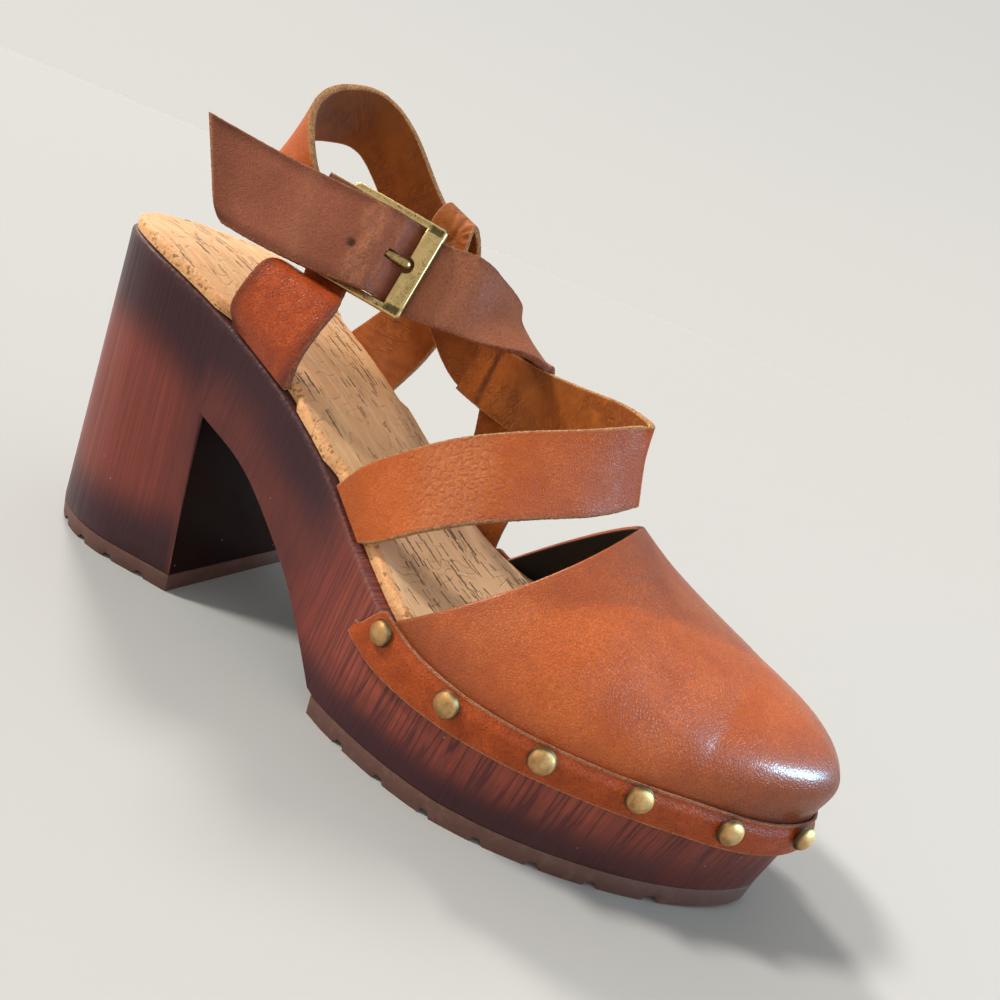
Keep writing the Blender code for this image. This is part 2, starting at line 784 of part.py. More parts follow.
def ribbon(rows, step=STRAP_STEP, foot=True, slant=0.0):
    """Flat strap of even thickness along its sections.

    A foot follows the sole edge at the first end; the last end is cut square or on a slant.
    """
    sections = strap_sections(rows, step)
    last = len(sections) - 1
    reach = [0.0]
    for near, far in zip(sections, sections[1:]):
        reach.append(reach[-1] + (far[0] - near[0]).length)
    rings = []
    for i, (centre, lean, width) in enumerate(sections):
        run = (sections[min(i + 1, last)][0] - sections[max(i - 1, 0)][0]).normalized()
        across = lean.normalized()
        square = smooth(reach[i] / SLANT_RUN) if foot else 1.0
        across = (across - run * across.dot(run) * square).normalized()
        skin = run.cross(across).normalized() * STRAP_THICK / 2
        shear = run * slant * max(1 - (reach[last] - reach[i]) / SLANT_RUN, 0.0)
        half = across * width / 2 + shear
        ring = [centre + half + skin, centre - half + skin, centre - half - skin, centre + half - skin]
        rings.append([tuple(point) for point in ring])
    return loft(rings)


def hinge_rows():
    """End of the heel strap, turned round the buckle's hinge bar and laid back on itself."""
    rows = [buckle_row(*place) for place in HINGE_RUN]
    for degrees in (-90, -45, 0, 45, 90):
        angle = math.radians(degrees)
        rows.append(buckle_row(HINGE_AT + HINGE_TURN * math.cos(angle), HINGE_TURN * math.sin(angle)))
    rows.append(buckle_row(*HINGE_BACK))
    return rows


def slot_cutter(name, centre, size, origin):
    """Block in the buckle's axes that cuts a slot for the prong."""
    bm = bmesh.new()
    bmesh.ops.create_cube(bm, size=1.0)
    bmesh.ops.scale(bm, vec=size, verts=bm.verts)
    bm.transform(buckle_matrix(*centre))
    return add_piece(name, bm, None, origin, "cutters")


def buckle_matrix(place, outwards):
    """Frame with its X along the strap, Y across and Z outwards from the buckle."""
    run, over, out = buckle_axes()
    turn = Matrix((run, over, out)).transposed().to_4x4()
    return Matrix.Translation(buckle_point(place, outwards)) @ turn


def build_straps(origin):
    """Instep strap, heel strap, buckle strap with its tail, and the two side tabs."""
    add_piece("instep_strap", ribbon((foot_row("instep"),) + INSTEP_STRAP), "tan_leather", origin)
    band = ribbon(HEEL_STRAP + tuple(hinge_rows()), 4.0, foot=False)
    heel_strap = add_piece("heel_strap", band, "tan_leather", origin)
    cut(heel_strap, slot_cutter("hinge_slot", (HINGE_AT + 1.5, 0.0), (9.0, 3.8, 9.0), origin))
    tail = tuple(buckle_row(*place) for place in TAIL_RUN)
    rows = (tail + BUCKLE_STRAP + (foot_row("buckle"),))[::-1]
    buckle_strap = ribbon(rows, 4.0, slant=TAIL_SLANT)
    buckle_strap = add_piece("buckle_strap", buckle_strap, "brown_leather", origin)
    cut(buckle_strap, slot_cutter("prong_slot", (3.6, 1.5), (8.0, 3.0, 9.0), origin))
    back = -buckle_axes()[0]
    end = tuple((*buckle_point(*place), *back, TAB_END_WIDTH) for place in OUTER_TAB_END)
    add_piece("outer_tab", ribbon((foot_row("outer_tab"),) + OUTER_TAB + end), "tan_leather", origin)
    add_piece("inner_tab", ribbon((foot_row("inner_tab"),) + INNER_TAB, 4.0), "tan_leather", origin)


def build_buckle(origin):
    """Brass frame with a wide front bar, and its prong turned round the hinge bar."""
    bm = bmesh.new()
    half_l, half_w = BUCKLE_LENGTH / 2, BUCKLE_WIDTH / 2
    window = ((-half_l + HINGE_BAR, half_l - FRONT_BAR), (-half_w + SIDE_BAR, half_w - SIDE_BAR))
    lines_x = (-half_l, *window[0], half_l)
    lines_y = (-half_w, *window[1], half_w)
    grid = [[bm.verts.new((x, y, -BUCKLE_THICK / 2)) for y in lines_y] for x in lines_x]
    for i in range(3):
        for j in range(3):
            if (i, j) != (1, 1):
                bm.faces.new((grid[i][j], grid[i + 1][j], grid[i + 1][j + 1], grid[i][j + 1]))
    raised = bmesh.ops.extrude_face_region(bm, geom=bm.faces[:])
    moved = [item for item in raised["geom"] if isinstance(item, bmesh.types.BMVert)]
    bmesh.ops.translate(bm, vec=(0, 0, BUCKLE_THICK), verts=moved)
    bmesh.ops.recalc_face_normals(bm, faces=bm.faces)
    bm.transform(buckle_matrix(0.0, 0.0))
    add_piece("buckle_frame", bm, "brass", origin)
    build_prong(origin)


def build_prong(origin):
    """Prong: a round wire that rings the hinge bar and rests on the front bar."""
    path = []
    for degrees in range(-30, -271, -24):
        angle = math.radians(degrees)
        path.append((HINGE_AT + PRONG_RING * math.cos(angle), PRONG_RING * math.sin(angle)))
    rest = BUCKLE_THICK / 2 + GAP + PRONG_RADIUS
    path += [(0.0, PRONG_RING), (BUCKLE_LENGTH / 2 - FRONT_BAR, rest), (BUCKLE_LENGTH / 2 - 1.6, rest)]
    run, over, out = buckle_axes()
    rings = []
    sides = 8
    for i, (place, outwards) in enumerate(path):
        before, after = path[max(i - 1, 0)], path[min(i + 1, len(path) - 1)]
        way = (run * (after[0] - before[0]) + out * (after[1] - before[1])).normalized()
        up = over.cross(way)
        centre = buckle_point(place, outwards)
        turns = [2 * math.pi * k / sides for k in range(sides)]
        rings.append([tuple(centre + PRONG_RADIUS * (over * math.cos(t) + up * math.sin(t))) for t in turns])
    add_piece("buckle_prong", loft(rings), "brass", origin)


def main():
    """Build the whole shoe."""
    origin = clear_scene()
    build_sole(origin)
    build_treads(origin)
    build_footbed(origin)
    build_vamp(origin)
    build_rand(origin)
    build_nails(origin)
    build_straps(origin)
    build_buckle(origin)


main()
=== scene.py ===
"""Looks of a platform clog sandal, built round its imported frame.

Sizes are in millimetres on the last: x from the back of the heel seat to the toe,
y towards the inner side of the foot, z up from the floor.
"""
import logging
import math
from bisect import bisect_right
from dataclasses import dataclass
from enum import Enum
from typing import Callable, Optional, Sequence, TypeVar, Union

import bmesh
import bpy
from mathutils import Matrix, Vector, noise

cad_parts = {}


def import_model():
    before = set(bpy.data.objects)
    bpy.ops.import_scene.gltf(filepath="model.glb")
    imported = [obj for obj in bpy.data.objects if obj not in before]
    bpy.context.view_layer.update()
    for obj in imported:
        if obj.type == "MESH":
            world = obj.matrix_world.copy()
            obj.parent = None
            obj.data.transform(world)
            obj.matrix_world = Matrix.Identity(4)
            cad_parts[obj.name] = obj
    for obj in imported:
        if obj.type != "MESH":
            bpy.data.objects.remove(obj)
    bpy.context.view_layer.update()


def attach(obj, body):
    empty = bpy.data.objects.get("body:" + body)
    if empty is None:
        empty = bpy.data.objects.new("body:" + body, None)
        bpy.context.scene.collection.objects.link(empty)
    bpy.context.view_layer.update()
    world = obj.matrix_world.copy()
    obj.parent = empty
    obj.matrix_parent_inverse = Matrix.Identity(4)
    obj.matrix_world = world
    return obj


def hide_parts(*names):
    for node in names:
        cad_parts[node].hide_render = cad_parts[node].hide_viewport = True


LOG = logging.getLogger("clog_sandal")
MM = 0.001
GAP = 0.3
BODY = "root"
# The frame's origin lies on the floor under the middle of the whole shoe.
FRAME_SHIFT = Vector((-118.1, 2.8, 0.0))

Colour = tuple[float, float, float]
Table = tuple[tuple[float, ...], ...]
Choice = TypeVar("Choice")
Sections = list[list[Vector]]
Material = bpy.types.Material
Piece = bpy.types.Object
Mesh = bmesh.types.BMesh


class Side(Enum):
    """Side of the foot."""

    OUTER = -1
    INNER = 1

    def pick(self, outer: Choice, inner: Choice) -> Choice:
        """One of two values."""
        return outer if self is Side.OUTER else inner


class Skin(Enum):
    """Which face of a strap shows the grain of the leather."""

    FRONT = 1
    BACK = -1


class Layer(Enum):
    """Material places of a leather piece."""

    GRAIN = 0
    LINING = 1
    CUT = 2


def smooth(t: float) -> float:
    """Ease from 0 to 1."""
    t = min(max(t, 0.0), 1.0)
    return t * t * (3 - 2 * t)


def fade(value: float, start: float, run: float) -> float:
    """Ease from 0 at a start to 1 after a run, which is negative where the value falls."""
    return smooth((value - start) / run)


def bell(t: float) -> float:
    """Bell curve with its top of 1 at 0."""
    return math.exp(-t ** 2)


def along(rows: Table, x: float, column: int = 1) -> float:
    """Smooth cubic through one column of a table whose first column rises.

    Args:
        rows: the table.
        x: place in the first column.
        column: column to read.

    Returns:
        The value at that place.
    """
    xs = [row[0] for row in rows]
    ys = [row[column] for row in rows]
    last = len(xs) - 1
    x = min(max(x, xs[0]), xs[last])
    i = min(max(bisect_right(xs, x) - 1, 0), last - 1)

    def slope(k: int) -> float:
        """Slope of the curve at one row."""
        lo, hi = max(k - 1, 0), min(k + 1, last)
        return (ys[hi] - ys[lo]) / (xs[hi] - xs[lo])

    span = xs[i + 1] - xs[i]
    t = (x - xs[i]) / span
    bend = slope(i) * (t ** 3 - 2 * t * t + t) + slope(i + 1) * (t ** 3 - t * t)
    return ys[i] + (ys[i + 1] - ys[i]) * t * t * (3 - 2 * t) + span * bend


@dataclass(frozen=True)
class Last:
    """Plan and side profile of the sole's top edge."""

    rear: float = 4.6
    toe: float = 230.2
    heel_round: float = 33.0
    heel_power: float = 2.1
    toe_round: float = 72.0
    toe_power_outer: float = 1.58
    toe_power_inner: float = 2.16
    tip_y: float = -2.0
    swing_from: float = 120.0
    # columns: x, outer half width, inner half width
    outline: Table = (
        (0, 31.0, 29.5), (33, 31.8, 30.0), (60, 28.8, 27.6), (95, 30.5, 22.9), (115, 35.8, 22.9),
        (130, 41.2, 25.2), (145, 45.4, 31.5), (160, 47.4, 39.0), (185, 47.5, 43.4), (232, 47.0, 43.5),
    )
    # columns: x, height of the top edge
    top_line: Table = (
        (0, 86.4), (30, 83.6), (60, 73.3), (80, 64.6), (100, 53.2),
        (120, 40.2), (140, 31.4), (165, 28.8), (200, 27.3), (232, 27.0),
    )

    def station_x(self, a: float) -> float:
        """Place along the sole for a station from 0 at the heel to 1 at the toe."""
        return self.rear + (self.toe - self.rear) * (1 - math.cos(math.pi * a)) / 2

    def station_of(self, x: float) -> float:
        """Station of a place along the sole."""
        part = (x - self.rear) / (self.toe - self.rear)
        return math.acos(min(max(1 - 2 * part, -1), 1)) / math.pi

    def swing(self, x: float) -> float:
        """Sideways place of the sole's middle."""
        return self.tip_y * smooth((x - self.swing_from) / (self.toe - self.swing_from))

    def plan_y(self, x: float, side: Side) -> float:
        """Sideways place of the top edge.

        Args:
            x: place along the sole.
            side: side of the foot.

        Returns:
            The edge's y.
        """
        width = side.value * along(self.outline, x, side.pick(1, 2))
        middle = self.swing(x)
        round_off = 1.0
        if x < self.rear + self.heel_round:
            t = min(1 - (x - self.rear) / self.heel_round, 1.0)
            round_off = max(1 - t ** self.heel_power, 0.0) ** (1 / self.heel_power)
        if x > self.toe - self.toe_round:
            power = side.pick(self.toe_power_outer, self.toe_power_inner)
            t = min((x - self.toe + self.toe_round) / self.toe_round, 1.0)
            round_off = max(1 - t ** power, 0.0) ** (1 / power)
        return middle + (width - middle) * round_off

    def edge(self, a: float, side: Side, inset: float = 0.0) -> tuple[float, float]:
        """Point of the top edge's plan, moved inwards.

        Args:
            a: station along the sole.
            side: side of the foot.
            inset: how far the point moves inwards.

        Returns:
            The point's x and y.
        """
        x = self.station_x(a)
        y = self.plan_y(x, side)
        if not inset:
            return x, y
        if a <= 0.0 or a >= 1.0:
            return (x + inset if a <= 0.0 else x - inset), y
        lo, hi = max(a - 0.002, 0.0), min(a + 0.002, 1.0)
        run_x = self.station_x(hi) - self.station_x(lo)
        run_y = self.plan_y(self.station_x(hi), side) - self.plan_y(self.station_x(lo), side)
        size = math.hypot(run_x, run_y)
        return x + side.value * run_y / size * inset, y - side.value * run_x / size * inset

    def top_z(self, x: float) -> float:
        """Height of the top edge."""
        return along(self.top_line, x)


class Wire:
    """Value, vector or colour in a material's graph, with the usual sums."""

    def __init__(self, graph: "Graph", socket: bpy.types.NodeSocket) -> None:
        """Hold one output of a node."""
        self.graph = graph
        self.socket = socket

    def __add__(self, other: "Feed") -> "Wire":
        """Sum."""
        return self.graph.math("ADD", self, other)

    def __sub__(self, other: "Feed") -> "Wire":
        """Difference."""
        return self.graph.math("SUBTRACT", self, other)

    def __mul__(self, other: "Feed") -> "Wire":
        """Product."""
        return self.graph.math("MULTIPLY", self, other)

    def __truediv__(self, other: "Feed") -> "Wire":
        """Quotient."""
        return self.graph.math("DIVIDE", self, other)

    def __abs__(self) -> "Wire":
        """Size without sign."""
        return self.graph.math("ABSOLUTE", self)

    def beside(self, name: str) -> "Wire":
        """Another output of the same node."""
        return Wire(self.graph, self.socket.node.outputs[name])


Feed = Union[Wire, float, tuple]
Name = Union[int, str]


class Graph:
    """Node graph of one material, with its patterns in millimetres."""

    def __init__(self, name: str) -> None:
        """Start a material with a plain shader."""
        self.material = bpy.data.materials.new(name)
        self.material.use_nodes = True
        self.nodes = self.material.node_tree.nodes
        self.links = self.material.node_tree.links
        self.shader = self.nodes["Principled BSDF"]

    def put(self, socket: bpy.types.NodeSocket, value: Feed) -> None:
        """Link a socket to a wire, or set its value."""
        if isinstance(value, Wire):
            self.links.new(value.socket, socket)
        else:
            socket.default_value = value

    def node(self, kind: str, out: Name, feeds: dict[Name, Feed], **choices: str) -> Wire:
        """Add a node.

        Args:
            kind: its type, without the common prefix.
            out: the output that is read.
            feeds: what goes into its inputs.
            choices: its settings.

        Returns:
            The output.
        """
        node = self.nodes.new("ShaderNode" + kind)
        for name, choice in choices.items():
            setattr(node, name, choice)
        for name, feed in feeds.items():
            self.put(node.inputs[name], feed)
        return Wire(self, node.outputs[out])

    def surface(self, **feeds: Feed) -> None:
        """Feed the shader's sockets, named with underscores for spaces."""
        for name, value in feeds.items():
            self.put(self.shader.inputs[name.replace("_", " ").title().replace("Ior", "IOR")], value)

    def space(self, scale: Colour = (1, 1, 1), turn: Colour = (0, 0, 0), uv: bool = False) -> Wire:
        """Coordinates in millimetres.

        Args:
            scale: stretch of the pattern.
            turn: turn of the pattern in degrees.
            uv: read the strap's own run instead of the object's space.

        Returns:
            The vector.
        """
        source = self.node("TexCoord", "UV" if uv else "Object", {})
        size = tuple(value / MM for value in scale)
        angles = tuple(math.radians(value) for value in turn)
        return self.node("Mapping", "Vector", {"Vector": source, "Scale": size, "Rotation": angles})

    def mark(self, name: str) -> Wire:
        """Value of a piece's own attribute."""
        return self.node("Attribute", "Fac", {}, attribute_name=name)

    def noise(
        self, vector: Wire, size: float, detail: float = 2.0, rough: float = 0.5, out: str = "Fac",
    ) -> Wire:
        """Cloudy pattern with features of a size."""
        feeds = {"Vector": vector, "Scale": 1 / size, "Detail": detail, "Roughness": rough}
        return self.node("TexNoise", out, feeds)

    def warp(self, vector: Wire, amount: float, size: float) -> Wire:
        """Vector shaken by a cloudy pattern.

        Args:
            vector: the coordinates.
            amount: how far points move.
            size: size of the pattern.

        Returns:
            The shaken vector.
        """
        shake = self.noise(vector, size, out="Color")
        feeds = {0: shake, 1: (amount * 2,) * 3, 2: vector}
        return self.node("VectorMath", "Vector", feeds, operation="MULTIPLY_ADD")

    def cells(self, vector: Wire, size: float, feature: str = "DISTANCE_TO_EDGE") -> Wire:
        """Distances in a pattern of cells of a size."""
        return self.node("TexVoronoi", "Distance", {"Vector": vector, "Scale": 1 / size}, feature=feature)

    def step(self, value: Feed, low: float, high: float, out: tuple[float, float] = (0.0, 1.0)) -> Wire:
        """Smooth step of a value from low to high."""
        names = ("Value", "From Min", "From Max", "To Min", "To Max")
        feeds = dict(zip(names, (value, low, high, *out)))
        return self.node("MapRange", "Result", feeds, interpolation_type="SMOOTHSTEP")

    def lines(self, value: Wire, half: float) -> Wire:
        """Thin lines where a pattern crosses its middle."""
        return self.step(abs(value - 0.5), half, half * 0.25)

    def stretch(self, vector: Wire, scale: Colour) -> Wire:
        """Vector scaled along its axes."""
        return self.node("VectorMath", "Vector", {0: vector, 1: scale}, operation="MULTIPLY")

    def join(self, x: Feed, y: Feed) -> Wire:
        """Vector of two values."""
        return self.node("CombineXYZ", 0, {0: x, 1: y})

    def chance(self, x: Feed, y: Feed = 0.0) -> tuple[Wire, ...]:
        """Three random values of a cell."""
        cell = self.join(x, y)
        return self.split(self.node("TexWhiteNoise", "Color", {"Vector": cell}, noise_dimensions="2D"))

    def math(self, operation: str, a: Feed, b: Feed = 0.0) -> Wire:
        """One sum on two values."""
        return self.node("Math", "Value", {0: a, 1: b}, operation=operation)

    def split(self, vector: Wire) -> tuple[Wire, ...]:
        """The three parts of a vector."""
        first = self.node("SeparateXYZ", 0, {0: vector})
        return tuple(Wire(self, socket) for socket in first.socket.node.outputs)

    def paint(self, colour: Union[Wire, Colour], *coats: tuple[Wire, Union[Wire, Colour]]) -> Wire:
        """Colour with coats laid over it.

        Args:
            colour: the ground.
            coats: share and colour of each coat.

        Returns:
            The painted colour.
        """
        for share, over in coats:
            ground, top = ((*c, 1.0) if isinstance(c, tuple) else c for c in (colour, over))
            colour = self.node("Mix", 2, {0: share, 6: ground, 7: top}, data_type="RGBA")
        return colour

    def bump(self, height: Wire, depth: float) -> Wire:
        """Normal from a height pattern, with its depth in millimetres."""
        return self.node("Bump", "Normal", {"Height": height, "Distance": depth * MM, "Strength": 1.0})


@dataclass(frozen=True)
class Leather:
    """Dyed leather with its grain side out."""

    name: str
    base: Colour
    deep: Colour
    worn_and_sheen: Colour
    burnt_and_shade: Colour
    grain: float = 0.85
    depth: float = 0.06
    rough: float = 0.42
    coat: float = 0.10
    gloss: float = 0.30
    patch: float = 9.0
    speck: float = 0.45

    def material(self) -> Material:
        """Pebble grain, mottled dye, pores, rubbed creases and burnished edges, with painted shade and
        painted sheen where a piece's marks ask for them.
        """
        g = Graph(self.name)
        space = g.space()
        shaken = g.warp(space, self.grain * 0.5, self.grain * 2.2)
        pebble = g.step(g.cells(shaken, self.grain), 0.0, 0.25)
        bold = g.step(g.cells(g.warp(space, 0.9, 2.4), 1.9), 0.0, 0.30)
        bold = (bold - 1.0) * g.mark("pebble")
        cloud = g.step(g.noise(space, self.patch, 4.0, 0.6), 0.28, 0.72)
        dapple = g.step(g.noise(shaken, 1.1, 4.0, 0.75), 0.42, 0.60)
        pore = g.step(g.noise(space, 0.55, 3.0, 0.7), 0.50, 0.66)
        # darker where a piece's marks ask: burnished edges and painted shade
        dark_share = g.mark("burnish_and_shade") * g.step(g.noise(space, 5.0, 4.0), 0.1, 0.6, (0.70, 1.0))
        wear_and_sheen = g.mark("wear_and_sheen") * g.step(g.noise(shaken, 0.6, 3.0, 0.7), 0.28, 0.66)
        colour = g.paint(
            self.base, (cloud, self.deep), (dapple * 0.50, self.deep),
            (g.step(pebble, 1.0, 0.0, (0.0, 0.55)), self.deep), (bold * -0.34, self.deep),
            (pore * self.speck, self.burnt_and_shade), (dark_share, self.burnt_and_shade), (wear_and_sheen, self.worn_and_sheen),
        )
        shine = g.step(g.noise(space, 5.0, 3.0), 0.3, 0.7, (self.rough - 0.06, self.rough + 0.08))
        height = pebble * 0.9 + g.noise(space, 0.26, 3.0, 0.6) * 0.5 + bold * 3.0
        g.surface(
            base_color=colour, roughness=shine, normal=g.bump(height, self.depth),
            coat_normal=g.bump(height, self.depth * 0.22), coat_weight=self.coat, coat_roughness=0.22,
            specular_ior_level=self.gloss,
        )
        return g.material


@dataclass(frozen=True)
class Suede:
    """Flesh side of the leather, soft and wrinkled."""

    name: str
    base: Colour
    deep: Colour
    seam_and_shade: Colour = (0.105, 0.034, 0.006)
    rough: float = 0.60
    depth: float = 0.16

    def material(self) -> Material:
        """Short nap with a net of wrinkles darkened as painted shade in their folds, with dark seam lines and
        painted shadows where the piece's marks ask for them.
        """
        g = Graph(self.name)
        space = g.space()
        run = g.warp(g.space(turn=(0, 0, 28), uv=True), 0.9, 6.0)
        fold = g.noise(g.stretch(run, (0.55, 0.10, 1.0)), 1.0)
        pleat = g.noise(g.stretch(g.space(turn=(0, 0, -20), uv=True), (0.9, 0.16, 1.0)), 1.0)
        where = g.step(g.noise(space, 11.0), 0.36, 0.58)
        crease = g.math("MAXIMUM", g.lines(fold, 0.07), g.lines(pleat, 0.05)) * where
        nap = g.noise(space, 0.22, 3.0, 0.65)
        cloud = g.step(g.noise(space, 5.0, 5.0, 0.65), 0.32, 0.72)
        # wrinkle lines are darkened: painted shade in the folds
        colour = g.paint(
            self.base, (cloud * 0.7, self.deep), (crease * 0.45, self.deep),
            (g.step(nap, 0.45, 0.7) * 0.30, self.deep), (g.mark("burnish_and_shade"), self.seam_and_shade),
        )
        height = nap * 0.3 + fold * 1.6 - crease
        g.surface(
            base_color=colour, roughness=self.rough, normal=g.bump(height, self.depth),
            sheen_weight=0.10, sheen_roughness=0.4, specular_ior_level=0.22,
        )
        return g.material


@dataclass(frozen=True)
class CutEdge:
    """Raw cut edge of the leather."""

    name: str
    base: Colour
    deep: Colour

    def material(self) -> Material:
        """Layered fibres along the edge."""
        g = Graph(self.name)
        space = g.space()
        fibre = g.noise(space, 0.5, 4.0, 0.75)
        tuft = g.step(g.noise(space, 2.2, 3.0, 0.6), 0.5, 0.7)
        colour = g.paint(self.deep, (g.step(fibre, 0.36, 0.62), self.base), (tuft * 0.6, self.deep))
        g.surface(base_color=colour, roughness=0.85, normal=g.bump(fibre, 0.22), specular_ior_level=0.2)
        return g.material


@dataclass(frozen=True)
class WoodLook:
    """Moulded sole with a brushed, burnished wood look."""

    name: str = "wood_look"
    bright: Colour = (0.40, 0.084, 0.046)
    red: Colour = (0.245, 0.050, 0.032)
    brown: Colour = (0.120, 0.027, 0.021)
    dark: Colour = (0.046, 0.013, 0.017)
    worn_and_sheen: Colour = (0.26, 0.13, 0.11)
    speck: Colour = (0.70, 0.62, 0.60)
    gloss: float = 0.26

    def material(self) -> Material:
        """Upright brush lines with painted shade in their grooves, red middle, dark edges, a pale rubbed rim
        and pale specks.
        """
        g = Graph(self.name)
        space = g.space()
        run, drop, _ = g.split(g.space(uv=True))
        grain = g.join(run + drop * 0.09, drop * 0.03)
        streak = g.noise(grain, 1.7, 1.0, 0.3)
        thin = g.noise(grain, 0.9, 1.0, 0.5)
        hair = g.noise(grain, 0.50, 2.0, 0.6)
        cloud = g.noise(space, 24.0, 4.0, 0.55)
        glow = g.mark("glow") + g.step(cloud, 0.3, 0.7, (-0.10, 0.10)) + g.step(hair, 0.3, 0.7, (-0.06, 0.06))
        cut = g.math("MAXIMUM", g.lines(streak, 0.06), g.lines(thin, 0.05) * 0.40)
        # the soft band along each line is painted shade in its groove
        cut = g.math("MAXIMUM", cut, g.lines(streak, 0.16) * 0.45) * g.mark("brush")
        cut = cut * g.step(cloud, 0.25, 0.5, (0.55, 1.0))
        rub_and_sheen = g.mark("wear_and_sheen") * g.step(g.noise(space, 1.1, 4.0, 0.7), 0.30, 0.70)
        dot = g.step(g.cells(space, 6.0, "F1"), 0.036, 0.022)
        colour = g.paint(
            self.dark, (g.step(glow, 0.0, 0.60), self.brown), (g.step(glow, 0.35, 1.0), self.red),
            (g.step(glow, 1.0, 1.6), self.bright), (cut * 0.74, self.dark),
            (g.step(hair, 0.48, 0.66, (0.0, 0.30)), self.dark), (rub_and_sheen * 0.45, self.worn_and_sheen),
            (dot * 0.55, self.speck),
        )
        g.surface(
            base_color=colour, roughness=g.step(streak, 0.3, 0.7, (0.38, 0.50)),
            normal=g.bump(hair * 0.45 - cut, 0.14), coat_weight=self.gloss * 0.15, coat_roughness=0.3,
            specular_ior_level=self.gloss,
        )
        return g.material


@dataclass(frozen=True)
class Rubber:
    """Dark brown tread rubber."""

    base: Colour = (0.135, 0.060, 0.045)
    dust: Colour = (0.21, 0.115, 0.09)
    dark: Colour = (0.05, 0.024, 0.02)

    def material(self) -> Material:
        """Matte rubber with dusty scuffs."""
        g = Graph("tread_rubber")
        space = g.space()
        pale_patch = g.step(g.noise(space, 3.0, 4.0, 0.7), 0.46, 0.72)
        grit = g.noise(space, 0.4, 3.0, 0.6)
        colour = g.paint(self.base, (pale_patch * 0.5, self.dust), (g.step(grit, 0.55, 0.75) * 0.3, self.dark))
        g.surface(
            base_color=colour, roughness=0.6, normal=g.bump(grit, 0.08),
            subsurface_weight=0.08, subsurface_radius=(0.003, 0.0012, 0.0008), specular_ior_level=0.4,
        )
        return g.material


@dataclass(frozen=True)
class Cork:
    """Cork veneer with dark lengthwise marks and a granular edge."""

    base: Colour = (0.74, 0.375, 0.155)
    pale: Colour = (0.81, 0.52, 0.27)
    front: Colour = (0.94, 0.63, 0.38)
    grit: Colour = (0.50, 0.26, 0.10)
    vein: Colour = (0.40, 0.20, 0.08)
    ring: Colour = (0.28, 0.14, 0.06)
    dark: Colour = (0.055, 0.026, 0.016)
    edge: Colour = (0.82, 0.34, 0.125)
    crumb: Colour = (0.84, 0.47, 0.215)
    bark: Colour = (0.26, 0.095, 0.03)

    def material(self) -> Material:
        """Thin strokes along the shoe, faint rings across it and a crumbly rounded edge."""
        g = Graph("cork_veneer")
        space = g.space()
        flow = g.warp(g.space((1.0, 1.0, 0.0), (0, 0, 4)), 0.45, 14.0)
        cluster = g.step(g.noise(g.stretch(flow, (0.07, 0.16, 1.0)), 1.0), 0.40, 0.62)
        short = self.strokes(g, flow, cluster, 1.05, 4.6, 0.42) * cluster
        stroke = g.math("MAXIMUM", self.strokes(g, flow, cluster, 1.7, 9.5, 0.52), short)
        vein = g.noise(g.stretch(flow, (0.06, 0.75, 1.0)), 1.0, 3.0, 0.6)
        sway = g.step(g.noise(flow, 12.0, 1.0), 0.2, 0.8, (-5.0, 5.0))
        ring = g.math("FRACT", (g.split(flow)[0] + sway) / 3.4)
        crack = g.lines(ring, 0.09) * g.step(g.noise(flow, 9.0), 0.45, 0.60)
        thread = g.lines(vein, 0.03) * g.step(g.noise(flow, 8.0, 3.0), 0.40, 0.60)
        grain = g.noise(space, 0.45, 3.0, 0.65)
        far = g.cells(g.warp(space, 0.5, 0.9), 0.85, "F1")
        rim = g.paint(
            self.edge, (g.step(far, 0.10, 0.65), self.crumb),
            (g.step(g.split(far.beside("Color"))[1], 0.84, 0.94, (0.0, 0.65)), self.bark),
        )
        hem = g.step(g.mark("hem") + g.step(grain, 0.2, 0.8, (-0.2, 0.2)), 0.35, 0.65)
        # the front colour is painted light, paling the cork towards the toe against the shade cast there
        colour = g.paint(
            self.base, (g.step(vein, 0.3, 0.7), self.pale),
            (g.step(grain, 0.5, 0.75, (0.0, 0.28)), self.grit),
            (g.step(g.split(space)[0], -45.0, 25.0, (0.0, 0.75)), self.front), (thread * 0.40, self.vein),
            (crack * 0.26, self.ring), (stroke * 0.92, self.dark), (hem, rim),
        )
        height = grain * 0.4 - g.math("MAXIMUM", stroke, crack) - hem * far * 0.9
        g.surface(base_color=colour, roughness=0.62, normal=g.bump(height, 0.16), specular_ior_level=0.25)
        return g.material

    @staticmethod
    def strokes(g: Graph, flow: Wire, cluster: Wire, pitch: float, length: float, wide: float) -> Wire:
        """Thin straight strokes in lanes along the shoe.

        Args:
            g: the material's graph.
            flow: coordinates along the shoe and across it.
            cluster: where strokes are many.
            pitch: distance between lanes.
            length: longest stroke.
            wide: width of a stroke.

        Returns:
            The strokes' share.
        """
        run, aside, _ = g.split(flow)
        lane = aside / pitch
        row = g.math("FLOOR", lane)
        place = run / length + g.chance(row)[0] * 9.0
        pick, size, dark = g.chance(row, g.math("FLOOR", place))
        part = g.math("FRACT", place)
        ends = g.step(part, 0.02, 0.08) * g.step(part - size * 0.6, 0.36, 0.28)
        ragged = g.step(g.noise(flow, 0.8, 3.0), 0.2, 0.8, (-0.16, 0.16))
        off = abs(g.math("FRACT", lane) + ragged - 0.5) / (size + 0.42)
        thin = g.step(off, 0.75 * wide / pitch, 0.40 * wide / pitch)
        shows = g.step(pick + cluster * 0.34, 0.95, 0.98) * (dark * 0.35 + 0.65)
        return thin * ends * shows


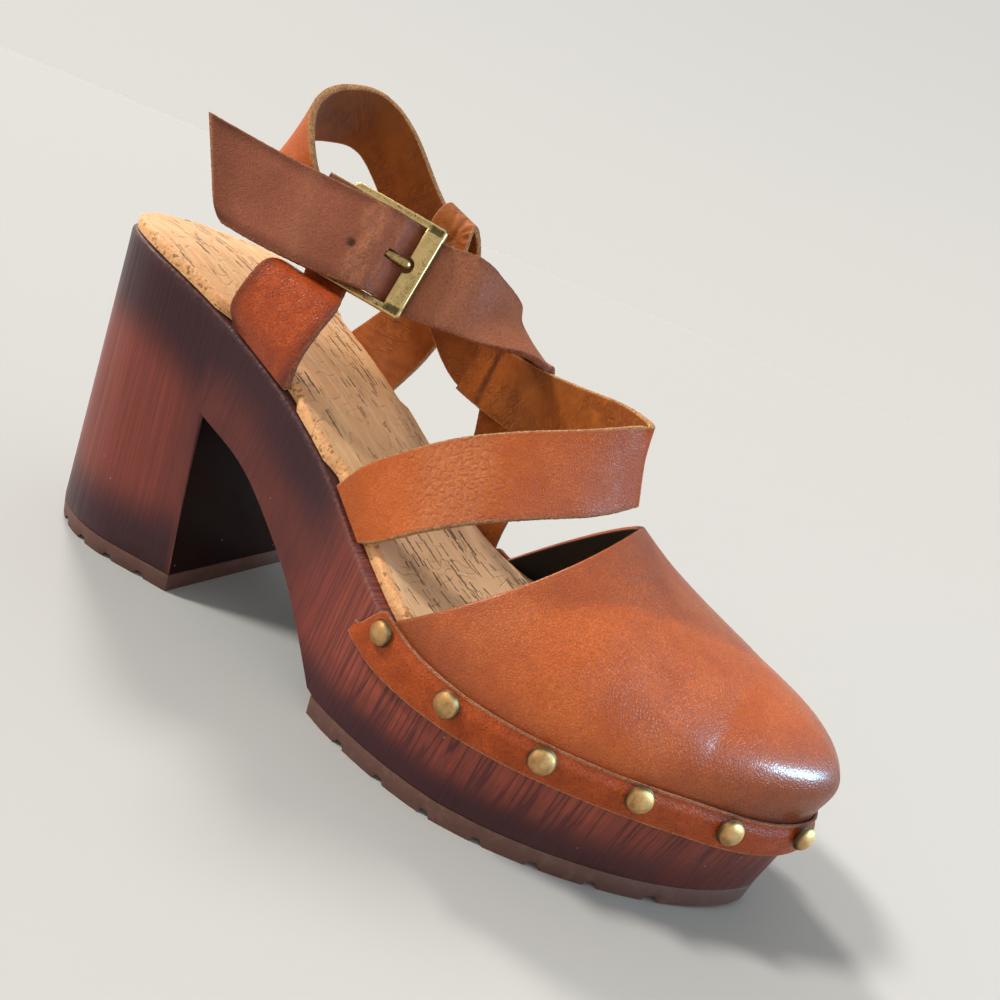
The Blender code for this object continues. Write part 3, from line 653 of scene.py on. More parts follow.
@dataclass(frozen=True)
class Brass:
    """Antique brass with a dark patina."""

    name: str = "antique_brass"
    bright: Colour = (0.66, 0.46, 0.19)
    dull: Colour = (0.42, 0.275, 0.10)
    rough: float = 0.36
    patina: Colour = (0.045, 0.030, 0.016)
    rubbed: Colour = (0.80, 0.58, 0.27)

    def material(self) -> Material:
        """Rubbed edges, speckled faces and dark recesses."""
        g = Graph(self.name)
        space = g.space()
        cloud = g.noise(space, 2.4, 4.0, 0.65)
        pit = g.noise(space, 0.50, 4.0, 0.75)
        scratch = g.noise(g.space((0.2, 1.6, 1.6), (0, 20, 17)), 0.5)
        wear_and_sheen = g.mark("wear_and_sheen")
        dark_share = g.mark("burnish_and_shade") + g.step(pit, 0.46, 0.62) * g.mark("pebble") * 0.8 - wear_and_sheen * 0.9
        colour = g.paint(
            self.bright, (g.step(cloud, 0.34, 0.66), self.dull),
            (g.step(dark_share, 0.1, 0.95, (0.0, 0.92)), self.patina), (wear_and_sheen * 0.7, self.rubbed),
        )
        shine = g.step(cloud, 0.3, 0.7, (self.rough - 0.06, self.rough + 0.10))
        g.surface(base_color=colour, metallic=1.0, roughness=shine, normal=g.bump(pit + scratch * 0.5, 0.04))
        return g.material


@dataclass(frozen=True)
class Plain:
    """Simple finish with a fine texture."""

    name: str
    base: Colour
    rough: float
    size: float
    depth: float

    def material(self) -> Material:
        """Even colour with slight mottling."""
        g = Graph(self.name)
        fleck = g.noise(g.space(), self.size, 3.0, 0.6)
        deep = tuple(0.7 * c for c in self.base)
        colour = g.paint(self.base, (g.step(fleck, 0.3, 0.8, (0.0, 0.35)), deep))
        g.surface(base_color=colour, roughness=self.rough, normal=g.bump(fleck, self.depth))
        return g.material


class Finishes:
    """The shoe's materials, each made once."""

    def __init__(self) -> None:
        """Make every finish."""
        self.vamp = Leather(
            "cognac_vamp",
            (0.66, 0.164, 0.036), (0.45, 0.088, 0.015), (0.66, 0.28, 0.12), (0.105, 0.026, 0.014),
            patch=13.0, rough=0.44, coat=0.34, grain=0.75, gloss=0.12, speck=0.34,
        ).material()
        self.rand = Leather(
            "cognac_rand",
            (0.50, 0.092, 0.014), (0.33, 0.052, 0.008), (0.58, 0.24, 0.10), (0.080, 0.020, 0.010),
            rough=0.48, grain=0.75, gloss=0.18, coat=0.04, patch=5.0, speck=0.55,
        ).material()
        self.strap = Leather(
            "tan_strap",
            (0.66, 0.176, 0.052), (0.50, 0.112, 0.028), (0.72, 0.36, 0.18), (0.13, 0.032, 0.014),
            rough=0.46, coat=0.0, gloss=0.09, speck=0.30,
        ).material()
        self.tab = Leather(
            "red_tan_tab",
            (0.70, 0.128, 0.020), (0.40, 0.056, 0.009), (0.62, 0.22, 0.09), (0.050, 0.011, 0.006),
            rough=0.36, coat=0.22, gloss=0.22, speck=0.5, patch=6.0,
        ).material()
        self.brown = Leather(
            "brown_strap",
            (0.400, 0.138, 0.078), (0.285, 0.090, 0.050), (0.58, 0.25, 0.13), (0.045, 0.014, 0.011),
            rough=0.52, coat=0.0, gloss=0.06, patch=12.0, speck=0.25,
        ).material()
        self.lining = Suede("orange_lining", (0.47, 0.132, 0.018), (0.25, 0.058, 0.007)).material()
        self.cut = CutEdge("cut_edge", (0.60, 0.34, 0.15), (0.28, 0.10, 0.03)).material()
        self.red_cut = CutEdge("red_cut_edge", (0.40, 0.150, 0.065), (0.18, 0.045, 0.018)).material()
        self.rand_cut = CutEdge("rand_cut_edge", (0.50, 0.25, 0.14), (0.28, 0.09, 0.04)).material()
        self.black = Plain("black_lining", (0.012, 0.009, 0.009), 0.9, 0.4, 0.2).material()
        self.wood = WoodLook().material()
        # near-black copy of the wood look: painted shade for faces turned from the light
        self.wood_painted_shade = WoodLook(
            "wood_painted_shade", (0.030, 0.008, 0.008), (0.030, 0.008, 0.008), (0.018, 0.006, 0.006),
            (0.010, 0.004, 0.005), (0.05, 0.02, 0.02), gloss=0.06,
        ).material()
        self.rubber = Rubber().material()
        self.cork = Cork().material()
        self.brass = Brass().material()
        self.bronze = Brass("nail_bronze", (0.60, 0.35, 0.145), (0.40, 0.22, 0.085), 0.56).material()
        floor = Graph("pale_floor")
        floor.surface(base_color=(0.479, 0.482, 0.474, 1.0), roughness=0.9, specular_ior_level=0.1)
        self.floor = floor.material


def girths(points: Sequence[Vector]) -> list[float]:
    """Distances along a run of points."""
    reach = [0.0]
    for near, far in zip(points, points[1:]):
        reach.append(reach[-1] + (far - near).length)
    return reach


def lofted(
    sections: Sections,
    closed: bool = True,
    bands: Optional[Sequence[int]] = None,
    marks: Optional[dict[str, list[list[float]]]] = None,
    cap: int = 0,
) -> Mesh:
    """Flat grid bent through sections of points.

    Args:
        sections: rows of points along the piece, all of one length.
        closed: whether each section is a closed loop.
        bands: material index of each strip between two points of a section.
        marks: values for the piece's attributes, laid out as the sections are.
        cap: material index of the end faces.

    Returns:
        The mesh, with its run in millimetres kept as a UV map.
    """
    bm = bmesh.new()
    uv = bm.loops.layers.uv.new("run")
    columns, count = len(sections) - 1, len(sections[0])
    rows = count if closed else count - 1
    bmesh.ops.create_grid(bm, x_segments=columns, y_segments=rows, size=0.5, calc_uvs=True)
    reach = girths([section[0] for section in sections])
    middle = sections[columns // 2]
    girth = girths(list(middle) + [middle[0]])
    layers = {name: bm.verts.layers.float.new(name) for name in marks or {}}
    index = {v: (round((v.co.x + 0.5) * columns), round((v.co.y + 0.5) * rows)) for v in bm.verts}
    for face in bm.faces:
        strip = int((face.calc_center_median().y + 0.5) * rows)
        face.material_index = bands[strip] if bands else 0
        for loop in face.loops:
            i, k = index[loop.vert]
            loop[uv].uv = (reach[i] * MM, girth[k] * MM)
    for vert, (i, k) in index.items():
        vert.co = sections[i][k % count]
        for name, layer in layers.items():
            vert[layer] = marks[name][i][k % count]
    bmesh.ops.remove_doubles(bm, verts=bm.verts, dist=0.001)
    if closed:
        ends = [edge for edge in bm.edges if edge.is_boundary]
        if ends:
            for face in bmesh.ops.holes_fill(bm, edges=ends, sides=0)["faces"]:
                face.material_index = cap
        bmesh.ops.recalc_face_normals(bm, faces=bm.faces)
    return bm


def stand(name: str, data: bpy.types.ID) -> Piece:
    """Object with its data, set in the scene."""
    thing = bpy.data.objects.new(name, data)
    bpy.context.scene.collection.objects.link(thing)
    return thing


def stand_mesh(name: str, bm: Mesh, materials: Sequence[Material]) -> Piece:
    """Object of a bmesh, which is freed, with its materials by index."""
    mesh = bpy.data.meshes.new(name)
    bm.to_mesh(mesh)
    bm.free()
    for material in materials:
        mesh.materials.append(material)
    return stand(name, mesh)


def add_piece(
    name: str,
    bm: Mesh,
    materials: Sequence[Material],
    nodes: Sequence[str] = (),
    sharp: float = 40.0,
) -> Piece:
    """Turn a bmesh in millimetres on the last into a piece that rides on the shoe.

    Args:
        name: the piece's name.
        bm: its mesh, which is freed.
        materials: materials by index.
        nodes: the frame's nodes that it stands for.
        sharp: angle in degrees past which an edge is drawn sharp.

    Returns:
        The object.
    """
    bm.transform(Matrix.Scale(MM, 4) @ Matrix.Translation(FRAME_SHIFT))
    piece = stand_mesh(name, bm, materials)
    piece.data.shade_smooth()
    piece.data.set_sharp_from_angle(angle=math.radians(sharp))
    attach(piece, BODY)
    if nodes:
        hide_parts(*nodes)
    LOG.info("%s: %d faces", name, len(piece.data.polygons))
    return piece


def bevel_arrises(bm: Mesh, width: float, angle: float = 35.0, segments: int = 3) -> None:
    """Round the arrises of a mesh.

    Args:
        bm: the mesh.
        width: width of the rounding.
        angle: least angle in degrees between the faces of an arris.
        segments: steps of the rounding.
    """
    limit = math.radians(angle)
    picked = [e for e in bm.edges if e.is_manifold and e.calc_face_angle(0.0) > limit]
    bmesh.ops.bevel(
        bm, geom=picked, offset=width, offset_type="OFFSET", affect="EDGES", segments=segments,
        profile=0.5, clamp_overlap=True, material=-1,
    )


@dataclass
class Sole:
    """Heel, shank and platform in one piece, with its two rubber treads."""

    last: Last
    finishes: Finishes
    rim: float = 0.9
    rubber: float = 5.0
    heel_front: float = 55.0
    breast_top: float = 61.0
    heel_rake: float = -1.7
    heel_stretch: float = 1.169
    heel_taper: float = 0.95
    toe_inset: float = 3.8
    toe_inset_from: float = 163.0
    toe_narrow: float = 0.078
    side_taper: float = 0.07
    side_taper_from: float = 125.0
    side_taper_run: float = 40.0
    toe_spring: float = 1.4
    toe_spring_from: float = 196.0
    tread_from: float = 119.5
    groove_depth: float = 1.4
    groove_half: float = 1.6
    forefoot_grooves: tuple[float, float, int] = (132.0, 13.0, 7)
    heel_grooves: tuple[float, float, int] = (9.5, 9.4, 5)
    tread_draw: float = 0.6
    rim_steps: int = 5
    wall_steps: int = 26
    columns: int = 150
    front_columns: int = 90
    rear_columns: int = 40
    top_inset: float = 6.0
    top_dish: float = 0.05
    breast_clear: float = 0.8
    unit_bevel: float = 0.6
    tread_bevel: float = 0.35
    # columns: x, height of the underside of the shank
    arch_line: Table = ((58, 50.2), (75, 43.2), (90, 31.9), (105, 18.6), (118, 5.3))

    def toe_rise(self, x: float) -> float:
        """Toe spring of the tread."""
        t = max(x - self.toe_spring_from, 0.0) / (self.last.toe - self.toe_spring_from)
        return self.toe_spring * t * t

    def heel_foot(self, x: float, y: float) -> tuple[float, float]:
        """Plan of the heel block at the floor, from a point of the top edge."""
        return self.heel_rake + x * self.heel_stretch, y * self.heel_taper

    def platform_foot(self, x: float, y: float) -> tuple[float, float]:
        """Plan of the platform at the tread, from a point of the top edge."""
        back = min(max((x - self.toe_inset_from) / (self.last.toe - self.toe_inset_from), 0.0), 1.0) ** 1.5
        narrow = min(max((x - self.side_taper_from) / self.side_taper_run, 0.0), 1.0) * self.side_taper
        middle = self.last.swing(x)
        return x - self.toe_inset * back, middle + (y - middle) * (1 - narrow - self.toe_narrow * back)

    def on_wall(self, a: float, side: Side, inset: float, z: float) -> Vector:
        """Point at a height on the platform's wall, which leans in towards the tread.

        Args:
            a: station along the sole.
            side: side of the foot.
            inset: how far the point lies inside the wall.
            z: its height.

        Returns:
            The point.
        """
        x = self.last.station_x(a)
        edge = Vector((*self.last.edge(a, side, inset), z))
        high, low = self.last.top_z(x) - self.rim, self.rubber + GAP + self.toe_rise(x)
        share = min(max((high - z) / (high - low), 0.0), 1.0)
        return edge.lerp(Vector((*self.platform_foot(edge.x, edge.y), z)), share)

    def wall(self, x: float, side: Side, in_heel: bool) -> tuple[Vector, Vector, float]:
        """Shoulder and foot of the wall in one section, and the share where the arch starts.

        Args:
            x: place along the sole.
            side: side of the foot.
            in_heel: whether the section is in the heel block.

        Returns:
            The shoulder, the foot and the share of the wall above the arch's spring.
        """
        a = self.last.station_of(x)
        shoulder = Vector((*self.last.edge(a, side), self.last.top_z(x) - self.rim))
        low = self.rubber + GAP
        share = 0.5
        if in_heel:
            foot = Vector((*self.heel_foot(x, shoulder.y), low))
            share = (shoulder.z - self.arch_line[0][1]) / (shoulder.z - low)
        elif x <= self.breast_top:
            top, base, part = self.wall(self.heel_front, side, True)
            foot = top.lerp(base, part)
        elif x < self.arch_line[-1][0]:
            foot = Vector((shoulder.x, shoulder.y, along(self.arch_line, x)))
        else:
            foot = Vector((*self.platform_foot(shoulder.x, shoulder.y), low + self.toe_rise(x)))
        return shoulder, foot, share

    def half_section(
        self, x: float, side: Side, in_heel: bool,
    ) -> tuple[list[Vector], list[float], list[float]]:
        """Rim and wall of one side.

        Args:
            x: place along the sole.
            side: side of the foot.
            in_heel: whether the section is in the heel block.

        Returns:
            The points from the rim down, and the glow and wear of each.
        """
        a = self.last.station_of(x)
        high = self.last.top_z(x)
        points = [Vector((*self.last.edge(a, side, self.top_inset), high - self.top_dish))]
        for i in range(self.rim_steps):
            turn = math.pi / 2 * i / self.rim_steps
            inset = self.rim * (1 - math.sin(turn))
            points.append(Vector((*self.last.edge(a, side, inset), high - self.rim * (1 - math.cos(turn)))))
        shoulder, foot, share = self.wall(x, side, in_heel)
        half = self.wall_steps // 2
        rest = self.wall_steps - half
        shares = [share * i / half for i in range(half)]
        shares += [share + (1 - share) * i / rest for i in range(rest + 1)]
        points += [shoulder.lerp(foot, part) for part in shares]
        wear_and_sheen = [0.0, 0.3, 0.8, 1.0, 1.0, 0.8] + [0.5 * max(1 - 30 * part, 0.0) for part in shares]
        return points, [self.glow(point, x) for point in points], wear_and_sheen[: len(points)]

    def glow(self, point: Vector, x: float) -> float:
        """Redness of the finish, from 0 at dark burnished edges to 1.3 on the platform's wall."""
        high = self.last.top_z(x)
        below = high - point.z
        floor = point.z - self.rubber
        if x < self.heel_front:
            reach = fade(below, 9, 20) * fade(floor, 3, 20)
            return reach * (0.25 + 0.75 * fade(x, 5, 9)) * (1 - 0.35 * fade(x, 42, 13))
        front = fade(x, 98, 26)
        shank = fade(below, 4, 15) * 0.52
        low = 0.12 + 0.40 * fade(x, 185, 30)
        platform = low + (1.30 - low) * fade(floor, 3.0, 11) * (1 - 0.50 * fade(x, 185, 35))
        return shank + (platform - shank) * front

    def stations(self) -> list[tuple[float, bool]]:
        """Places of the sections, with the breast of the heel between two of them."""
        places = [self.last.station_x(i / self.columns) for i in range(self.columns + 1)]
        rear, front = self.heel_front - self.breast_clear, self.breast_top + self.breast_clear
        heel = [(x, True) for x in places if x < rear] + [(self.heel_front, True)]
        return heel + [(self.breast_top, False)] + [(x, False) for x in places if x > front]

    def build_unit(self) -> Piece:
        """Moulded unit with rounded rim and arrises."""
        sections, glow, wear_and_sheen, brush = [], [], [], []
        for x, in_heel in self.stations():
            outer = self.half_section(x, Side.OUTER, in_heel)
            inner = self.half_section(x, Side.INNER, in_heel)
            sections.append(outer[0] + inner[0][::-1])
            glow.append(outer[1] + inner[1][::-1])
            wear_and_sheen.append(outer[2] + inner[2][::-1])
            deep = 0.35 + 0.65 * fade(x, 95, 40)
            brush.append([deep * (0.45 + 0.55 * fade(point.z, 8, 8)) for point in sections[-1]])
        bm = lofted(sections, marks={"glow": glow, "wear_and_sheen": wear_and_sheen, "brush": brush})
        for face in bm.faces:
            spot = face.calc_center_median()
            # the heel's breast and the shank's underside take the near-black copy of the wood look: painted
            # shade
            breast = face.normal.x > 0.5 and spot.x < self.breast_top + 5 and spot.z < self.arch_line[0][1]
            if breast or (face.normal.z < -0.3 and spot.x < self.tread_from):
                face.material_index = 1
        bevel_arrises(bm, self.unit_bevel, 50.0)
        finishes = [self.finishes.wood, self.finishes.wood_painted_shade]
        return add_piece("platform_unit", bm, finishes, ["sole_platform"])

    def groove_rows(self, grooves: tuple[float, float, int]) -> list[tuple[float, float]]:
        """Places of the corners of evenly spaced grooves, with their depth."""
        first, pitch, count = grooves
        rows = []
        for i in range(count):
            for shift, depth in ((-1, 0), (-0.5, 1), (0.5, 1), (1, 0)):
                rows.append((first + i * pitch + shift * self.groove_half, depth * self.groove_depth))
        return rows

    def build_tread(
        self, name: str, node: str, places: list[float], grooves: tuple[float, float, int],
        foot: Callable[[float, float], tuple[float, float]], rise: Callable[[float], float],
    ) -> Piece:
        """Rubber tread with grooves across it.

        Args:
            name: the piece's name.
            node: the frame's node that it stands for.
            places: places of its plain sections along the top edge.
            grooves: first place, pitch and count of the grooves.
            foot: plan of the tread from a point of the top edge.
            rise: lift of the tread along the shoe.

        Returns:
            The piece.
        """
        cuts = self.groove_rows(grooves)
        clear = [x for x in places if all(abs(x - place) > 0.5 for place, _ in cuts)]
        inside = [cuts[i][0] for i in range(1, len(cuts), 4)]
        clear = [x for x in clear if all(abs(x - place) > self.groove_half for place in inside)]
        sections = []
        for x, depth in sorted([(x, 0.0) for x in clear] + cuts):
            a = self.last.station_of(x)
            ring = []
            for side, order in ((Side.OUTER, 1), (Side.INNER, -1)):
                top = Vector((*foot(*self.last.edge(a, side)), self.rubber + rise(x)))
                low = Vector((*foot(*self.last.edge(a, side, self.tread_draw)), depth + rise(x)))
                ring += [top, top.lerp(low, 0.5), low][::order]
            sections.append(ring)
        bm = lofted(sections)
        bevel_arrises(bm, self.tread_bevel, 40.0, 2)
        return add_piece(name, bm, [self.finishes.rubber], [node])

    def build(self) -> None:
        """Build the unit and both treads."""
        self.build_unit()
        start = self.last.station_of(self.tread_from)
        count = self.front_columns
        front = [self.last.station_x(start + (1 - start) * i / count) for i in range(count + 1)]
        self.build_tread(
            "forefoot_tread", "outsole_forefoot", front, self.forefoot_grooves,
            self.platform_foot, self.toe_rise,
        )
        turn = self.last.station_of(self.last.rear + self.last.heel_round)
        count = self.rear_columns
        rear = [self.last.station_x(turn * i / count) for i in range(count + 1)] + [self.heel_front]
        self.build_tread("heel_tread", "outsole_heel", rear, self.heel_grooves, self.heel_foot, lambda x: 0.0)


@dataclass
class Footbed:
    """Cork footbed with a rounded edge, lying on the sole."""

    last: Last
    finishes: Finishes
    thick: float = 3.0
    round: float = 1.4
    inset: float = 1.0
    slot_inset: float = 3.1
    slot_ramp: float = 3.0
    outer_slots: Table = ((56, 82), (100, 260))
    inner_slots: Table = ((54, 84), (108, 260))
    top_steps: int = 40
    edge_steps: int = 5
    columns: int = 170
    first: float = 0.012
    final: float = 0.985
    crumble: float = 0.16
    face_inset: float = 2.2

    def edge_inset(self, x: float, side: Side) -> float:
        """Inset of the cork from the rim, deeper where something stands beside it."""
        deep = 0.0
        for start, stop in side.pick(self.outer_slots, self.inner_slots):
            deep = max(deep, smooth(min(x - start, stop - x) / self.slot_ramp + 1))
        return self.inset + (self.slot_inset - self.inset) * deep

    def half_section(self, a: float, side: Side) -> tuple[list[Vector], list[float]]:
        """Wall and rounded edge of one side.

        Args:
            a: station along the sole.
            side: side of the foot.

        Returns:
            The points from the sole up, and how much of the edge each shows.
        """
        x = self.last.station_x(a)
        base = self.last.top_z(x) + GAP
        inset = self.edge_inset(x, side)
        crumble = self.crumble * noise.noise(Vector((x * 0.9, side.value * 7.0, 0.0)))
        points = [Vector((*self.last.edge(a, side, inset + crumble), base))]
        hem = [1.0]
        for i in range(self.edge_steps + 1):
            turn = math.pi / 2 * i / self.edge_steps
            away = inset + crumble + self.round * (1 - math.cos(turn))
            z = base + self.thick - self.round + self.round * math.sin(turn)
            points.append(Vector((*self.last.edge(a, side, away), z)))
            hem.append(1.0 if i < self.edge_steps - 1 else 0.7)
        face = self.last.edge(a, side, inset + self.round + self.face_inset)
        points.append(Vector((*face, base + self.thick)))
        return points, hem + [0.0]

    def build(self) -> Piece:
        """Veneered top with its granular edge."""
        sections, marks = [], []
        for i in range(self.columns + 1):
            a = min(max(i / self.columns, self.first), self.final)
            outer, hem_out = self.half_section(a, Side.OUTER)
            inner, hem_in = self.half_section(a, Side.INNER)
            top = [outer[-1].lerp(inner[-1], k / self.top_steps) for k in range(1, self.top_steps)]
            sections.append(outer + top + inner[::-1])
            marks.append(hem_out + [0.0] * len(top) + hem_in[::-1])
        bm = lofted(sections, marks={"hem": marks})
        return add_piece("cork_footbed", bm, [self.finishes.cork], ["footbed"])


@dataclass(frozen=True)
class Crease:
    """Soft trough or ridge: place along and across a strap, turn in degrees, length, width and height."""

    along: float
    across: float
    turn: float
    length: float
    width: float
    height: float

    def lift(self, s: float, c: float) -> float:
        """Height of the crease at a place along and across the strap."""
        ahead, aside = s - self.along, c - self.across
        if abs(ahead) + abs(aside) > 1.5 * self.length + 5 * self.width:
            return 0.0
        turn = math.radians(self.turn)
        run = (ahead * math.cos(turn) + aside * math.sin(turn)) / self.length
        off = (aside * math.cos(turn) - ahead * math.sin(turn)) / self.width
        if abs(run) >= 1 or abs(off) > 3:
            return 0.0
        return self.height * (1 - run * run) ** 2 * math.exp(-off * off)


def wave(terms: tuple[float, ...], i: int) -> float:
    """Value for one item of a row, from its start, step, swing and the swing's pace."""
    start, step, swing, pace = (*terms, 0.0, 0.0, 0.0)[:4]
    return start + step * i + swing * math.sin(pace * i)


def scattered(
    count: int, width: float, heights: tuple[float, ...], *waves: tuple[float, ...],
) -> tuple[Crease, ...]:
    """Row of creases whose places and turns swing from one to the next.

    Args:
        count: number of creases.
        width: width of each.
        heights: heights, taken in turn.
        waves: waves of the place along, the place across, the turn and the length.

    Returns:
        The creases.
    """
    return tuple(
        Crease(*(wave(terms, i) for terms in waves), width, heights[i % len(heights)]) for i in range(count)
    )


@dataclass
class Vamp:
    """Closed-toe upper: one leather wall, open at the throat and underneath."""

    last: Last
    finishes: Finishes
    thick: float = 1.8
    start_outer: float = 133.0
    start_inner: float = 130.0
    spine_y: float = 5.9
    pole_x: float = 205.0
    lean_outer: float = 1.25
    lean_inner: float = 0.88
    side_round: float = 2.0
    toe_round: float = 1.81
    toe_bulge: float = 0.41
    pole_slope: float = -0.22
    rows: int = 56
    side_columns: int = 70
    toe_columns: int = 44
    ease_passes: int = 14
    ease_reach: float = 16.0
    rim_round: float = 0.55
    rim_angle: float = 55.0
    shade_from: float = 167.0
    shade_run: float = 0.93
    pebble_at: Colour = (176.0, -12.0, 60.0)
    pebble_reach: float = 16.0
    # columns: x, height of the ridge
    ridge_line: Table = ((166.5, 67.8), (178, 61.3), (190, 55.9), (205, 50.9))
    creases: tuple[Crease, ...] = (
        Crease(171.0, -8.0, 70.0, 9.0, 1.6, -0.22), Crease(175.0, -12.0, 62.0, 8.0, 1.5, -0.20),
        Crease(179.5, -10.0, 75.0, 7.0, 1.5, -0.18), Crease(183.0, -15.0, 66.0, 6.0, 1.4, -0.12),
        Crease(195.0, -34.0, 22.0, 9.0, 2.2, -0.35), Crease(160.0, -33.0, 40.0, 8.0, 2.0, -0.18),
    )

    def start(self, side: Side) -> float:
        """Where the vamp begins on the sole edge."""
        return side.pick(self.start_outer, self.start_inner)

    def point(self, a: float, side: Side, row: float) -> Vector:
        """Point of the vamp over a place of its base line.

        Args:
            a: station of the base point.
            side: side of the foot.
            row: from 0 at the sole to 1 at the ridge.

        Returns:
            The point.
        """
        foot_x = self.last.station_x(a)
        x, y = self.last.edge(a, side)
        low = self.last.top_z(foot_x) + GAP
        spread = (foot_x - self.start(side)) / (self.pole_x - self.start(side))
        first = self.ridge_line[0][0]
        spine_x = first + (self.pole_x - first) * min(spread, 1.0)
        high = along(self.ridge_line, spine_x)
        toe = smooth(spread - 0.6)
        power = 2 / (self.side_round + (self.toe_round - self.side_round) * toe)
        angle = row * math.pi / 2
        level = math.sin(angle) ** power
        reach = math.cos(angle) ** power if row < 1 else 0.0
        reach += self.toe_bulge * toe * (math.sin(2 * angle) * math.cos(angle)) ** 2
        lean = side.pick(self.lean_outer, self.lean_inner)
        ahead = reach if foot_x > spine_x else (1 - level) ** lean
        tilt = self.pole_slope * (x - spine_x) * reach * (1 - reach) ** 2 if foot_x > spine_x else 0.0
        return Vector((
            spine_x + (x - spine_x) * ahead,
            self.spine_y + (y - self.spine_y) * reach,
            low + (high - low) * level + tilt,
        ))

    def base_line(self) -> list[tuple[Side, float]]:
        """Places round the sole edge that the vamp rises from, outer side first."""
        places = []
        pole = self.last.station_of(self.pole_x)
        for side in Side:
            start = self.start(side)
            share = [i / self.side_columns for i in range(self.side_columns)]
            run = [(side, self.last.station_of(start + (self.pole_x - start) * t)) for t in share]
            run += [(side, pole + (1 - pole) * i / self.toe_columns) for i in range(self.toe_columns + 1)]
            places += side.pick(run, run[-2::-1])
        return places

    def burnish_and_shade(self, point: Vector, row: float) -> float:
        """Darkening of the leather towards the toe's foot, along the sole and on the outer side towards the
        back, and a painted shadow of the instep strap over the throat.
        """
        toe = fade(point.x, 186, 36) * fade(row, 0.72, -0.6) * 0.60
        foot = fade(row, 0.20, -0.20) * 0.24
        # painted shadow of the instep strap, cast over the throat behind a slanted line
        shade = self.shade_from + (point.y + 31.0) * self.shade_run - point.x
        throat = smooth(shade / 5.0 + 0.5) * fade(point.z, 44.0, 9.0) * 0.34
        side = fade(point.x, 180.0, -30.0) * smooth((-24.0 - point.y) / 14.0) * 0.36
        return min(toe + foot + max(throat, side), 0.8)

    def pebble(self, point: Vector) -> float:
        """Share of bold grain, most beside the ridge near the throat."""
        return 0.8 * smooth(1 - (point - Vector(self.pebble_at)).length / self.pebble_reach)

    def build(self) -> Piece:
        """Leather wall with a black lining."""
        sections, marks, wear_and_sheen, pebble = [], [], [], []
        base = self.base_line()
        for i, (side, a) in enumerate(base):
            shares = [row / self.rows for row in range(self.rows + 1)]
            points = [self.point(a, side, share) for share in shares]
            sections.append(points)
            marks.append([self.burnish_and_shade(point, share) for point, share in zip(points, shares)])
            rim = min(i, len(base) - 1 - i)
            wear_and_sheen.append([0.25 if rim == 0 else 0.0] * len(points))
            pebble.append([self.pebble(point) for point in points])
        bm = lofted(sections, closed=False, marks={"burnish_and_shade": marks, "wear_and_sheen": wear_and_sheen, "pebble": pebble})
        pole = Vector((self.pole_x, self.spine_y, self.ridge_line[-1][1]))
        axes = {"use_axis_x": True, "use_axis_y": True, "use_axis_z": True}
        for _ in range(self.ease_passes):
            near = [v for v in bm.verts if (v.co - pole).length < self.ease_reach and not v.is_boundary]
            bmesh.ops.smooth_vert(bm, verts=near, factor=0.5, **axes)
        bmesh.ops.recalc_face_normals(bm, faces=bm.faces)
        top = max(bm.faces, key=lambda face: face.calc_center_median().z)
        if top.normal.z < 0:
            bmesh.ops.reverse_faces(bm, faces=bm.faces)
        bm.normal_update()
        for vert in bm.verts:
            vert.co += vert.normal * sum(row.lift(vert.co.x, vert.co.y) for row in self.creases)
        layers = [self.finishes.vamp, self.finishes.black, self.finishes.rand]
        piece = add_piece("toe_vamp", bm, layers, ["vamp"])
        wall = piece.modifiers.new("wall", "SOLIDIFY")
        wall.thickness = self.thick * MM
        wall.offset = -1.0
        wall.material_offset = Layer.LINING.value
        wall.material_offset_rim = Layer.CUT.value
        rim = piece.modifiers.new("rim", "BEVEL")
        rim.width = self.rim_round * MM
        rim.segments = 3
        rim.limit_method = "ANGLE"
        rim.angle_limit = math.radians(self.rim_angle)
        return piece


@dataclass
class Section:
    """One section of a band: centre, directions across it and out of it, width and place along."""

    centre: Vector
    across: Vector
    skin: Vector
    width: float
    reach: float


